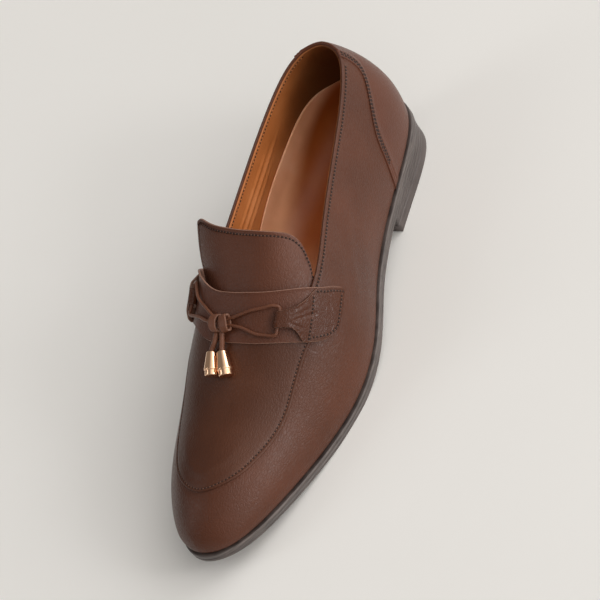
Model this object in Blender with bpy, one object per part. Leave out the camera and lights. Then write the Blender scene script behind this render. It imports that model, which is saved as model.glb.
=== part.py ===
import math

import bmesh
import bpy
import numpy as np

# Tassel loafer, left shoe. Lengths in millimetres here, metres in the model.
# Station = distance from the back of the heel towards the toe.
# X: lateral side +, Y: heel +, toe -, Z: up from the floor.
MM = 0.001
SOLE_LENGTH = 300.0
CENTRE_X = -0.79
CENTRE_Y = 0.35
SOLE_THICK = 5.3
WELT_MARGIN = 1.2
WALL = 1.8
GAP = 0.3
SIDE_BULGE = 2.7
BULGE_GAIN = 27 / 4
BULGE_FADE = 15.0
NORMAL_STEP = 0.4
TURN_STEP = 1e-3
TINY = 1e-6
TOP_RISE = 0.999
BACK_LEAN = 7.7
BACK_BULGE = 3.15
BACK_REACH = 0.35
BACK_HEIGHT = 60.0

# One row per section of the last:
# station / length, sole edge lateral, sole edge medial, top of sole, ridge above sole,
# fullness lateral, fullness medial, wall steepness
SECTIONS = np.array((
    (0.00, -1.0, -1.0, 24.0, 82.0, 2.60, 2.65, 2.80),
    (0.05, 22.0, -23.6, 22.9, 83.9, 2.62, 2.70, 2.83),
    (0.14, 27.9, -31.2, 20.8, 85.5, 2.64, 2.81, 2.86),
    (0.26, 30.8, -34.8, 17.7, 87.0, 2.58, 2.95, 2.83),
    (0.40, 38.2, -37.0, 14.3, 84.8, 2.37, 3.12, 2.63),
    (0.52, 48.0, -42.5, 9.6, 75.5, 2.25, 3.06, 2.35),
    (0.62, 48.8, -49.8, 5.6, 63.4, 2.26, 2.79, 2.10),
    (0.74, 41.5, -49.4, 5.8, 47.0, 2.30, 2.46, 1.93),
    (0.86, 31.0, -39.4, 10.7, 35.2, 2.32, 2.33, 1.92),
    (0.95, 19.2, -25.2, 15.2, 20.6, 2.31, 2.30, 1.96),
    (1.00, -3.0, -3.0, 18.0, 0.0, 2.30, 2.30, 2.00),
))
STATION, LATERAL, MEDIAL, SOLE_TOP, RIDGE, FULL_LAT, FULL_MED, STEEP = SECTIONS.T

# Topline: station / length, height above the floor
COLLAR = np.array((
    (0.00, 91.5),
    (0.06, 89.0),
    (0.18, 81.3),
    (0.30, 74.5),
    (0.42, 69.0),
    (0.53, 63.8),
))
COLLAR_END = 0.53
THROAT_STATION = 184.0

HEEL_BREAST = 76.5
HEEL_INSET = 0.8
HEEL_TAPER = 1.4
TOP_PIECE = 5.5
INSOLE_THICK = 2.6
INSOLE_INSET = WELT_MARGIN + WALL + 1.1
# Rows along and columns across
SOLE_GRID = (40, 9)
HEEL_GRID = (14, 9)
INSOLE_GRID = (34, 7)

# Saddle strap: angle from the ridge, station of rear edge, station of front edge
STRAP = np.array((
    (0.0, 170.2, 194.3),
    (13.0, 168.9, 193.6),
    (27.0, 165.2, 190.6),
    (43.2, 158.4, 184.9),
    (52.0, 154.2, 180.8),
    (56.0, 151.8, 178.0),
    (59.0, 149.8, 175.2),
    (61.2, 148.3, 172.2),
    (62.6, 147.7, 169.4),
    (63.6, 148.2, 166.6),
))
STRAP_THICK = 1.4
STRAP_LIFT = 0.55
STRAP_TOP = STRAP_LIFT + STRAP_THICK
# The medial half of the strap lies further back
STRAP_BACK = 7.0
STRAP_BACK_FROM = 5.0
STRAP_BACK_OVER = 30.0
# The sewn ends are cut on a slant: degrees added at the rear and front corners
SLANT_REAR = 1.7
SLANT_FRONT = -0.7
SLANT_FROM = 56.0

# Strap end piece with folded loop: angle from the ridge, rear edge, front edge
TAB = np.array((
    (28.0, 174.9, 183.0),
    (32.0, 173.0, 181.8),
    (37.0, 169.4, 180.8),
    (40.0, 166.8, 182.2),
    (43.4, 162.8, 184.4),
    (48.0, 157.0, 182.6),
    (52.0, 154.8, 180.2),
    (56.0, 152.4, 177.4),
    (59.0, 150.4, 174.6),
    (61.2, 148.9, 171.6),
    (62.6, 148.4, 168.8),
    (63.4, 148.8, 166.4),
))
TAB_THICK = 1.1
FOLD_RADIUS = 1.4
FOLD_TAIL = 5.0
FOLD_STEPS = 8
FOLD_RAMP = 13.0
MEDIAL_FOLD_RAMP = 6.0
MEDIAL_TAB_TURN = 9.0
MEDIAL_TAB_BACK = 2.5

# Tongue: station, half angle, flare of the medial wing
TONGUE = np.array((
    (122.0, 48.0, 17.0),
    (140.0, 48.0, 10.8),
    (144.0, 48.0, 8.2),
    (148.0, 48.0, 5.0),
    (151.0, 48.0, 2.6),
    (155.0, 48.0, 1.0),
    (162.0, 47.0, 0.0),
    (172.0, 44.0, 0.0),
    (186.0, 39.0, 0.0),
    (200.0, 34.0, 0.0),
))
# Top edge of the tongue: place across, station
TONGUE_TOP = np.array((
    (-1.00, 129.4),
    (-0.95, 128.8),
    (-0.82, 130.8),
    (-0.60, 135.0),
    (-0.26, 138.3),
    (-0.06, 139.4),
    (0.27, 139.0),
    (0.59, 136.3),
    (0.73, 135.6),
    (0.82, 136.5),
    (0.90, 139.4),
    (0.956, 143.2),
    (0.99, 147.9),
    (1.00, 152.0),
))
TONGUE_FRONT = 198.0
TONGUE_THICK = 1.6
TONGUE_SINK = WALL + 0.5
WING_NARROW = 0.86
WING_CURVE = 1.6

CORD_RADIUS = 1.0
CORD_STEP = 2.4 * CORD_RADIUS
CORD_FINE = 400
LACE_LIFT = STRAP_TOP + GAP + CORD_RADIUS
LOOP_RUN_OUT = 1.2
KNOT_STATION = 185.2
KNOT_X = -5.2
KNOT_RADII = (6.0, 5.6, 3.4)

# Lace strands between knot and loop: station, x, extra lift
LATERAL_REAR = (
    (182.6, 0.6, 0.8),
    (180.2, 6.4, 0.2),
    (177.6, 12.6, 0.2),
    (175.2, 18.6, 0.6),
    (173.4, 22.2, 1.4),
)
LATERAL_FRONT = (
    (185.6, 24.2, 1.6),
    (187.8, 20.3, 0.6),
    (188.4, 14.0, 0.2),
    (186.6, 6.4, 0.2),
    (186.2, 0.6, 0.8),
)
MEDIAL_REAR = (
    (182.2, -10.2, 0.9),
    (176.6, -18.4, 0.4),
    (170.6, -24.2, 0.9),
    (165.4, -26.2, 1.5),
    (163.0, -28.2, 1.6),
)
MEDIAL_FRONT = (
    (176.8, -31.2, 1.7),
    (179.4, -27.4, 0.7),
    (181.8, -21.0, 0.3),
    (185.0, -11.2, 0.9),
)

# Lace ends and metal tips: tip top station, tip top x, tip foot station, tip foot x
TIPS = (
    (199.0, -10.7, 211.4, -8.2),
    (198.6, -3.9, 211.0, 0.9),
)
# Turned profile of a tip: fraction of the length, radius
TIP_PROFILE = (
    (0.00, 2.2),
    (0.03, 2.6),
    (0.70, 3.7),
    (0.78, 3.7),
    (0.80, 3.15),
    (0.98, 3.15),
    (1.00, 2.9),
)
TIP_LIFT_TOP = 3.6
TIP_LIFT_FOOT = 4.3
# Lace end between knot and tip: sideways lean, start beyond the knot, lift at the start and in the middle
END_LEAN = 0.55
END_START = 5.1
END_LIFT = 1.0
END_MIDDLE_LIFT = 0.8
END_STRAIGHT = 2.0

for item in list(bpy.data.objects):
    bpy.data.objects.remove(item, do_unlink=True)


def spline(knots, values, at):
    # natural cubic through the rows of a table
    count = len(knots)
    step = np.diff(knots)
    slope = np.diff(values) / step
    matrix = np.eye(count)
    right = np.zeros(count)
    for i in range(1, count - 1):
        matrix[i, i - 1:i + 2] = step[i - 1], 2 * (step[i - 1] + step[i]), step[i]
        right[i] = 6 * (slope[i] - slope[i - 1])
    bend = np.linalg.solve(matrix, right)
    i = np.clip(np.searchsorted(knots, at, side="right") - 1, 0, count - 2)
    t = at - np.asarray(knots)[i]
    first = slope[i] - step[i] * (2 * bend[i] + bend[i + 1]) / 6
    third = (bend[i + 1] - bend[i]) / (6 * step[i])
    return np.asarray(values)[i] + t * (first + t * (bend[i] / 2 + t * third))


def turn(fraction):
    # angle round the outline, 0 at the heel and pi at the toe
    return np.arccos(1 - 2 * np.clip(fraction, 0.0, 1.0))


def ring_spline(knots, values, at):
    # closed cubic: three turns of the table, read from the middle one
    full = 2 * math.pi
    wide = np.concatenate((knots - full, knots, knots + full))
    return spline(wide, np.tile(values, 3), np.mod(at, full))


RING_ANGLE = np.concatenate((turn(STATION), 2 * math.pi - turn(STATION[1:-1])[::-1]))
RING_X = np.concatenate((LATERAL, MEDIAL[1:-1][::-1]))


def outline(angle):
    return ring_spline(RING_ANGLE, RING_X, angle)


def sole_top(station):
    return spline(STATION, SOLE_TOP, np.clip(station / SOLE_LENGTH, 0.0, 1.0))


def sole_bottom(station):
    return np.maximum(sole_top(station) - SOLE_THICK, 0.0)


def section(station):
    fraction = (station - WELT_MARGIN) / (SOLE_LENGTH - 2 * WELT_MARGIN)
    angle = turn(fraction)
    lateral = outline(angle)
    medial = outline(2 * math.pi - angle)
    half = np.maximum((lateral - medial) / 2 - WELT_MARGIN, 0.0)
    return fraction, (lateral + medial) / 2, half


def shape(station, side):
    fraction, middle, half = section(station)
    ridge = np.maximum(spline(turn(STATION), RIDGE, turn(fraction)), 0.0)
    full = np.where(side > 0, spline(STATION, FULL_LAT, fraction), spline(STATION, FULL_MED, fraction))
    return fraction, middle, half, ridge, full, spline(STATION, STEEP, fraction)


def last_by_angle(station, angle):
    # point of the last; angle is 0 on the ridge and a right angle at the sole edge
    side = np.where(angle >= 0, 1.0, -1.0)
    fraction, middle, half, ridge, full, steep = shape(station, side)
    rise = np.clip(np.cos(angle), 0.0, 1.0) ** (2 / steep)
    height = ridge * rise
    bulge = BULGE_GAIN * rise * (1 - rise) ** 2 * SIDE_BULGE * np.clip(half / BULGE_FADE, 0.0, 1.0)
    back = np.clip(1 - fraction / BACK_REACH, 0.0, 1.0) ** 2
    t = height / BACK_HEIGHT
    lean = back * (BACK_LEAN * t * t - BACK_BULGE * 4 * t * (1 - t))
    x = middle + side * (half * np.sin(np.abs(angle)) ** (2 / full) + bulge)
    y = SOLE_LENGTH / 2 - station - lean
    return np.stack((x, y, sole_top(station) + GAP + height), -1)


def angle_at_x(station, x):
    # x is measured before the side bulge
    _, middle, _ = section(station)
    side = np.where(x >= middle, 1.0, -1.0)
    _, middle, half, _, full, _ = shape(station, side)
    ratio = np.where(half > TINY, np.abs(x - middle) / np.maximum(half, TINY), 0.0)
    return side * np.arcsin(np.clip(ratio, 0.0, 1.0) ** (full / 2))


def last_at(station, x):
    return last_by_angle(station, angle_at_x(station, x))


def x_at_angle(station, angle):
    side = np.where(angle >= 0, 1.0, -1.0)
    _, middle, half, _, full, _ = shape(station, side)
    return middle + side * half * np.sin(np.abs(angle)) ** (2 / full)


def angle_at_height(station, height, side):
    _, _, _, ridge, _, steep = shape(station, side)
    rise = np.clip((height - sole_top(station)) / ridge, 0.0, TOP_RISE)
    return side * np.arccos(rise ** (steep / 2))


def lifted(station, x, lift):
    # point at a set distance from the last, along its own normal
    h = NORMAL_STEP
    along = last_at(station + h, x) - last_at(station - h, x)
    across = last_at(station, x + h) - last_at(station, x - h)
    normal = np.cross(along, across)
    normal /= np.linalg.norm(normal, axis=-1, keepdims=True)
    normal *= np.sign(normal[..., 2:3])
    return last_at(station, x) + normal * np.asarray(lift)[..., None]


def ease(value):
    t = np.clip(value, 0.0, 1.0)
    return t * t * (3 - 2 * t)


def strap_back(angle):
    return STRAP_BACK * ease((np.degrees(-angle) - STRAP_BACK_FROM) / STRAP_BACK_OVER)


def slanted(angle, t):
    # angle with the slant of the sewn end; t runs from the rear edge to the front edge
    share = ease((np.degrees(np.abs(angle)) - SLANT_FROM) / (STRAP[-1, 0] - SLANT_FROM))
    return angle + np.sign(angle) * np.radians(share * (SLANT_REAR * (1 - t) + SLANT_FRONT * t))


def material(name, colour, roughness, metallic=0.0):
    made = bpy.data.materials.new(name)
    made.use_nodes = True
    shader = made.node_tree.nodes["Principled BSDF"]
    shader.inputs["Base Color"].default_value = (*colour, 1.0)
    shader.inputs["Roughness"].default_value = roughness
    shader.inputs["Metallic"].default_value = metallic
    return made


def add_mesh(name, points, faces, slot):
    mesh = bpy.data.meshes.new(name)
    shifted = (np.asarray(points) - (CENTRE_X, CENTRE_Y, 0.0)) * MM
    mesh.from_pydata(shifted.tolist(), [], faces)
    work = bmesh.new()
    work.from_mesh(mesh)
    bmesh.ops.triangulate(work, faces=work.faces)
    bmesh.ops.recalc_face_normals(work, faces=work.faces)
    work.to_mesh(mesh)
    work.free()
    mesh.materials.append(slot)
    thing = bpy.data.objects.new(name, mesh)
    bpy.context.scene.collection.objects.link(thing)
    return thing


def sheet(name, outer, inner, slot):
    # closed solid between two grids of the same shape
    rows, columns = outer.shape[:2]
    size = rows * columns
    faces = []
    for i in range(rows - 1):
        for j in range(columns - 1):
            a = i * columns + j
            faces.append((a, a + 1, a + columns + 1, a + columns))
            faces.append((size + a, size + a + columns, size + a + columns + 1, size + a + 1))
    rim = [j for j in range(columns)]
    rim += [i * columns + columns - 1 for i in range(1, rows)]
    rim += [(rows - 1) * columns + j for j in range(columns - 2, -1, -1)]
    rim += [i * columns for i in range(rows - 2, 0, -1)]
    for k, a in enumerate(rim):
        b = rim[(k + 1) % len(rim)]
        faces.append((a, size + a, size + b, b))
    return add_mesh(name, np.concatenate((outer.reshape(-1, 3), inner.reshape(-1, 3))), faces, slot)


def ring_shell(name, outer, inner, slot):
    # closed solid between two grids that both run once round the foot
    rows, columns = outer.shape[:2]
    loop = np.concatenate((outer, inner[:, ::-1]), axis=1)
    around = loop.shape[1]
    faces = []
    for i in range(rows):
        n = (i + 1) % rows
        for j in range(around):
            k = (j + 1) % around
            faces.append((i * around + j, n * around + j, n * around + k, i * around + k))
    return add_mesh(name, loop.reshape(-1, 3), faces, slot)


def inset_outline(angle, inset):
    h = TURN_STEP
    x = outline(angle)
    dx = outline(angle + h) - outline(angle - h)
    dy = SOLE_LENGTH / 2 * np.sin(angle) * 2 * h
    length = math.hypot(dx, dy)
    station = SOLE_LENGTH * (1 - math.cos(angle)) / 2
    return x - inset * dy / length, station + inset * dx / length


def slab(name, last_station, grid, inset, top, bottom, slot, taper=0.0):
    # solid between two height functions inside the inset outline
    rows, columns = grid
    end = turn(np.array(last_station / SOLE_LENGTH))
    points = []
    rings = []
    for level, height in enumerate((top, bottom)):
        for k in range(rows + 1):
            angle = float(end) * k / rows
            single = k == 0 or (k == rows and last_station >= SOLE_LENGTH)
            spread = (0.0,) if single else np.linspace(-1.0, 1.0, columns)
            edge = inset + level * taper
            lat = inset_outline(angle, edge)
            med = inset_outline(2 * math.pi - angle, edge)
            line = []
            for t in spread:
                x = (lat[0] * (1 + t) + med[0] * (1 - t)) / 2
                station = (lat[1] * (1 + t) + med[1] * (1 - t)) / 2
                line.append(len(points))
                points.append((x, SOLE_LENGTH / 2 - station, float(height(np.array(station)))))
            rings.append(line)
    faces = []
    count = rows + 1
    for level in range(2):
        for k in range(rows):
            a = rings[level * count + k]
            b = rings[level * count + k + 1]
            if len(a) == 1 or len(b) == 1:
                tip, wide = (a[0], b) if len(a) == 1 else (b[0], a)
                faces += [(tip, wide[j], wide[j + 1]) for j in range(len(wide) - 1)]
            else:
                faces += [(a[j], a[j + 1], b[j + 1], b[j]) for j in range(len(a) - 1)]
    for k in range(rows):
        for pick in (0, -1):
            a, b = rings[k][pick], rings[k + 1][pick]
            c, d = rings[count + k][pick], rings[count + k + 1][pick]
            faces.append((a, b, d, c))
    if last_station < SOLE_LENGTH:
        a, b = rings[rows], rings[count + rows]
        faces += [(a[j], a[j + 1], b[j + 1], b[j]) for j in range(len(a) - 1)]
    return add_mesh(name, points, faces, slot)


def build_upper(slot, around=68, up=11):
    angle = np.arange(around) * 2 * math.pi / around
    fold = np.where(angle <= math.pi, angle, 2 * math.pi - angle)
    side = np.where(angle <= math.pi, 1.0, -1.0)
    fraction = (1 - np.cos(fold)) / 2
    span = SOLE_LENGTH - 2 * WELT_MARGIN
    foot_station = WELT_MARGIN + span * fraction
    _, middle, half = section(foot_station)
    foot_x = middle + side * half
    corner = float(turn(np.array(COLLAR_END)))
    corner_station = WELT_MARGIN + span * COLLAR_END
    low = np.minimum(fraction, COLLAR_END)
    rim_angle = angle_at_height(WELT_MARGIN + span * low, spline(*COLLAR.T, low), side)
    t = np.clip((fold - corner) / (math.pi - corner), 0.0, 1.0) * math.pi / 2
    edge_angle = rim_angle * np.cos(t)
    edge_station = np.where(fold <= corner, foot_station,
                            corner_station + (THROAT_STATION - corner_station) * np.sin(t))
    edge_x = x_at_angle(edge_station, edge_angle)
    step = np.linspace(0.0, 1.0, up + 1)
    climb = 1 - np.cos(step * math.pi / 2)
    station = foot_station[:, None] + (edge_station - foot_station)[:, None] * climb
    x = foot_x[:, None] + (edge_x - foot_x)[:, None] * climb
    wall_angle = side[:, None] * (math.pi / 2 + (np.abs(rim_angle)[:, None] - math.pi / 2) * step)
    rear = (fold <= corner)[:, None]
    outer = last_by_angle(station, np.where(rear, wall_angle, angle_at_x(station, x)))
    around_step = np.roll(outer, -1, 0) - np.roll(outer, 1, 0)
    up_step = np.gradient(outer, axis=1)
    normal = np.cross(around_step, up_step)
    normal /= np.linalg.norm(normal, axis=-1, keepdims=True)
    return ring_shell("upper", outer, outer + normal * WALL * inward(outer, normal), slot)


def inward(points, normal):
    # +1 or -1 so that the offset goes into the shoe
    heart = points.mean(axis=(0, 1))
    lean = ((heart - points) * normal).sum()
    return 1.0 if lean > 0 else -1.0


def build_strap(slot, across=30, along=5):
    angle = np.radians(np.linspace(-STRAP[-1, 0], STRAP[-1, 0], across + 1))
    rear = spline(np.radians(STRAP[:, 0]), STRAP[:, 1], np.abs(angle))
    front = spline(np.radians(STRAP[:, 0]), STRAP[:, 2], np.abs(angle))
    t = np.linspace(0.0, 1.0, along + 1)
    station = (rear - strap_back(angle))[:, None] + (front - rear)[:, None] * t
    x = x_at_angle(station, slanted(angle[:, None], t))
    inner = lifted(station, x, np.full(station.shape, STRAP_LIFT))
    outer = lifted(station, x, np.full(station.shape, STRAP_TOP))
    return sheet("saddle_strap", outer, inner, slot)


def tab_grid(side, across=16, along=4):
    # end piece over the strap up to its fold, with the middle of the fold and its two directions
    base = STRAP_TOP + GAP
    share = np.linspace(0.0, 1.0, across + 1)
    row = np.radians(TAB[-1, 0] + (TAB[0, 0] - TAB[-1, 0]) * share)
    shift = share * share if side < 0 else np.zeros(across + 1)
    rear = spline(np.radians(TAB[:, 0]), TAB[:, 1], row) - MEDIAL_TAB_BACK * shift
    front = spline(np.radians(TAB[:, 0]), TAB[:, 2], row) - MEDIAL_TAB_BACK * shift
    angle = side * (row + math.radians(MEDIAL_TAB_TURN) * shift)
    t = np.linspace(0.0, 1.0, along + 1)
    station = (rear - strap_back(angle))[:, None] + (front - rear)[:, None] * t
    x = x_at_angle(station, slanted(angle[:, None], t))
    flat = lifted(station, x, np.zeros(station.shape))[:, along // 2]
    reach = np.linalg.norm(np.diff(flat, axis=0), axis=1)
    run = np.concatenate((reach[::-1].cumsum()[::-1], (0.0,)))
    ramp = FOLD_RAMP if side > 0 else MEDIAL_FOLD_RAMP
    low = base + (TAB_THICK + 2 * FOLD_RADIUS) * ease((FOLD_TAIL + ramp - run) / ramp)
    inner = lifted(station, x, np.broadcast_to(low[:, None], station.shape))
    outer = lifted(station, x, np.broadcast_to(low[:, None] + TAB_THICK, station.shape))
    lift = outer[-1] - inner[-1]
    lift /= np.linalg.norm(lift, axis=-1, keepdims=True)
    forward = inner[-1] - inner[-2]
    forward -= lift * (forward * lift).sum(-1, keepdims=True)
    forward /= np.linalg.norm(forward, axis=-1, keepdims=True)
    return inner, outer, inner[-1] - lift * FOLD_RADIUS, lift, forward


def build_tab(name, side, slot):
    inner, outer, centre, lift, forward = tab_grid(side)
    rolled_in, rolled_out = [], []
    for step in range(1, FOLD_STEPS + 1):
        turned = math.pi * step / FOLD_STEPS
        ray = lift * math.cos(turned) + forward * math.sin(turned)
        rolled_in.append(centre + ray * FOLD_RADIUS)
        rolled_out.append(centre + ray * (FOLD_RADIUS + TAB_THICK))
    for back in (FOLD_TAIL / 2, FOLD_TAIL):
        rolled_in.append(rolled_in[FOLD_STEPS - 1] - forward * back)
        rolled_out.append(rolled_out[FOLD_STEPS - 1] - forward * back)
    inner = np.concatenate((inner, np.array(rolled_in)))
    outer = np.concatenate((outer, np.array(rolled_out)))
    return sheet(name, outer, inner, slot)


def build_tongue(slot, across=22, along=18):
    t = np.linspace(-1.0, 1.0, across + 1)
    top = spline(*TONGUE_TOP.T, t)
    station = TONGUE_FRONT + (top - TONGUE_FRONT) * np.linspace(0.0, 1.0, along + 1)[:, None]
    half = np.radians(spline(TONGUE[:, 0], TONGUE[:, 1], station))
    flare = spline(TONGUE[:, 0], TONGUE[:, 2], station)
    x = x_at_angle(station, half * np.where(t < 0, t * WING_NARROW, t))
    wing = flare * np.clip(-t, 0.0, 1.0) ** WING_CURVE
    outer = lifted(station, x, wing - TONGUE_SINK)
    inner = lifted(station, x, wing - TONGUE_SINK - TONGUE_THICK)
    return sheet("tongue", outer, inner, slot)


def smooth_route(points, spacing):
    # even points along a smooth curve through hand-placed ones
    knots = np.concatenate(((0.0,), np.linalg.norm(np.diff(points, axis=0), axis=1).cumsum()))
    fine = np.linspace(0.0, knots[-1], CORD_FINE)
    path = np.stack([spline(knots, points[:, k], fine) for k in range(3)], -1)
    run = np.concatenate(((0.0,), np.linalg.norm(np.diff(path, axis=0), axis=1).cumsum()))
    count = max(3, int(round(run[-1] / spacing)) + 1)
    even = np.linspace(0.0, run[-1], count)
    return np.stack([np.interp(even, run, path[:, k]) for k in range(3)], -1)


def add_cord(name, points, slot):
    curve = bpy.data.curves.new(name, "CURVE")
    curve.dimensions = "3D"
    curve.bevel_depth = CORD_RADIUS * MM
    curve.bevel_resolution = 2
    curve.use_fill_caps = True
    path = curve.splines.new("POLY")
    route = (smooth_route(points, CORD_STEP) - (CENTRE_X, CENTRE_Y, 0.0)) * MM
    path.points.add(len(route) - 1)
    for point, place in zip(path.points, route):
        point.co = (*place, 1.0)
    curve.materials.append(slot)
    thing = bpy.data.objects.new(name, curve)
    bpy.context.scene.collection.objects.link(thing)
    return thing


def strand(rows):
    table = np.array(rows)
    return lifted(table[:, 0], table[:, 1], LACE_LIFT + table[:, 2])


def lace_loop(name, side, rear, front, slot):
    # from the knot through the fold of the tab and back to the knot
    centre = tab_grid(side)[2]
    run = centre[-1] - centre[0]
    run /= np.linalg.norm(run)
    out = run * LOOP_RUN_OUT
    through = np.concatenate(((centre[0] - out,), centre, (centre[-1] + out,)))
    return add_cord(name, np.concatenate((strand(rear), through, strand(front))), slot)


def build_knot(slot, around=16, rings=9):
    h = NORMAL_STEP
    lift = STRAP_TOP + GAP + KNOT_RADII[2]
    at = np.array((KNOT_STATION, KNOT_STATION + h, KNOT_STATION, KNOT_STATION))
    x = np.array((KNOT_X, KNOT_X, KNOT_X + h, KNOT_X))
    centre, ahead, beside, above = lifted(at, x, np.array((lift, lift, lift, lift + h)))
    axes = [(beside - centre) / h, (ahead - centre) / h, (above - centre) / h]
    axes = [axis / np.linalg.norm(axis) for axis in axes]
    points = [centre + axes[2] * KNOT_RADII[2]]
    for k in range(1, rings):
        high = math.cos(math.pi * k / rings)
        wide = math.sin(math.pi * k / rings)
        for j in range(around):
            spin = 2 * math.pi * j / around
            points.append(centre + axes[0] * KNOT_RADII[0] * wide * math.cos(spin)
                          + axes[1] * KNOT_RADII[1] * wide * math.sin(spin) + axes[2] * KNOT_RADII[2] * high)
    points.append(centre - axes[2] * KNOT_RADII[2])
    faces = []
    last = len(points) - 1
    for j in range(around):
        n = (j + 1) % around
        faces.append((0, 1 + j, 1 + n))
        faces.append((last, last - around + n, last - around + j))
        for k in range(rings - 2):
            a = 1 + k * around
            faces.append((a + j, a + around + j, a + around + n, a + n))
    return add_mesh("lace_knot", points, faces, slot)


def tip_ends(row):
    station = np.array((row[0], row[2]))
    x = np.array((row[1], row[3]))
    return lifted(station, x, np.array((TIP_LIFT_TOP, TIP_LIFT_FOOT)))


def build_tip(name, row, slot, around=16):
    top, foot = tip_ends(row)
    axis = foot - top
    first = np.cross(axis, (0.0, 0.0, 1.0))
    first /= np.linalg.norm(first)
    second = np.cross(axis, first)
    second /= np.linalg.norm(second)
    points = []
    for fraction, radius in TIP_PROFILE:
        for j in range(around):
            spin = 2 * math.pi * j / around
            outward = first * math.cos(spin) + second * math.sin(spin)
            points.append(top + axis * fraction + radius * outward)
    faces = [tuple(range(around)), tuple(range(len(points) - around, len(points)))]
    for k in range(len(TIP_PROFILE) - 1):
        for j in range(around):
            n = (j + 1) % around
            a = k * around
            faces.append((a + j, a + n, a + around + n, a + around + j))
    return add_mesh(name, points, faces, slot)


def lace_end(name, row, slot):
    top, foot = tip_ends(row)
    axis = (foot - top) / np.linalg.norm(foot - top)
    begin = KNOT_STATION + END_START
    station = np.array((begin, (begin + row[0]) / 2))
    lean = np.array((END_LEAN, (1 + END_LEAN) / 2))
    lift = LACE_LIFT + np.array((END_LIFT, END_MIDDLE_LIFT))
    upper = lifted(station, KNOT_X + lean * (row[1] - KNOT_X), lift)
    finish = top - axis * GAP
    return add_cord(name, np.array((*upper, finish - axis * END_STRAIGHT, finish)), slot)


def stack_top(station):
    return sole_bottom(station) - GAP


def insole_bottom(station):
    return sole_top(station) + GAP


def insole_top(station):
    return insole_bottom(station) + INSOLE_THICK


def flat_at(height):
    return lambda station: np.full(station.shape, height)


leather = material("upper_leather", (0.082, 0.036, 0.022), 0.38)
lining = material("insole_leather", (0.30, 0.12, 0.045), 0.5)
edge = material("sole_leather", (0.085, 0.062, 0.052), 0.5)
stack = material("heel_leather", (0.080, 0.058, 0.050), 0.5)
lift = material("heel_rubber", (0.035, 0.030, 0.028), 0.6)
saddle = material("strap_leather", (0.090, 0.040, 0.025), 0.36)
ends = material("tab_leather", (0.095, 0.043, 0.027), 0.36)
flap = material("tongue_leather", (0.078, 0.034, 0.021), 0.4)
thong = material("lace_leather", (0.070, 0.030, 0.019), 0.45)
metal = material("tip_metal", (0.62, 0.38, 0.30), 0.22, 1.0)

slab("outsole", SOLE_LENGTH, SOLE_GRID, 0.0, sole_top, sole_bottom, edge)
slab("heel_stack", HEEL_BREAST, HEEL_GRID, HEEL_INSET,
     stack_top, flat_at(TOP_PIECE + GAP), stack, HEEL_TAPER)
slab("heel_top_piece", HEEL_BREAST, HEEL_GRID, HEEL_INSET + HEEL_TAPER,
     flat_at(TOP_PIECE), flat_at(0.0), lift)
slab("insole", SOLE_LENGTH, INSOLE_GRID, INSOLE_INSET, insole_top, insole_bottom, lining)
build_upper(leather)
build_tongue(flap)
build_strap(saddle)
build_tab("tab_lateral", 1.0, ends)
build_tab("tab_medial", -1.0, ends)
build_knot(thong)
lace_loop("lace_loop_lateral", 1.0, LATERAL_REAR, LATERAL_FRONT, thong)
lace_loop("lace_loop_medial", -1.0, MEDIAL_REAR, MEDIAL_FRONT, thong)
for label, tip_row in zip(("a", "b"), TIPS):
    lace_end("lace_end_" + label, tip_row, thong)
    build_tip("metal_tip_" + label, tip_row, metal)
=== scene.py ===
import math

import bmesh
import bpy
import numpy as np
from mathutils import Matrix, Vector


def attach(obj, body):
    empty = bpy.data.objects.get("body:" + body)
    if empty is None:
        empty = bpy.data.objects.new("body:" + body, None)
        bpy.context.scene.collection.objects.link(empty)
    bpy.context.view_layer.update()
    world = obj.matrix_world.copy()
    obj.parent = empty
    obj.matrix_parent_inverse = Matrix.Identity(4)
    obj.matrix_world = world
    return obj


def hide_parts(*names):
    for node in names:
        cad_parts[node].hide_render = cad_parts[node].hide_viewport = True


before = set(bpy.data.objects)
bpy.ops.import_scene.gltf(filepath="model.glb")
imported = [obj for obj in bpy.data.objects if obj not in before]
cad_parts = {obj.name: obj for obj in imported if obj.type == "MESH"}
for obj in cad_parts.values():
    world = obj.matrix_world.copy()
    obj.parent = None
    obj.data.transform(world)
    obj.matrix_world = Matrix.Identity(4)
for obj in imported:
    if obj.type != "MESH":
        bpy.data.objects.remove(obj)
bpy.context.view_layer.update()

print("frame loaded:", len(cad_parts), "nodes")

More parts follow.
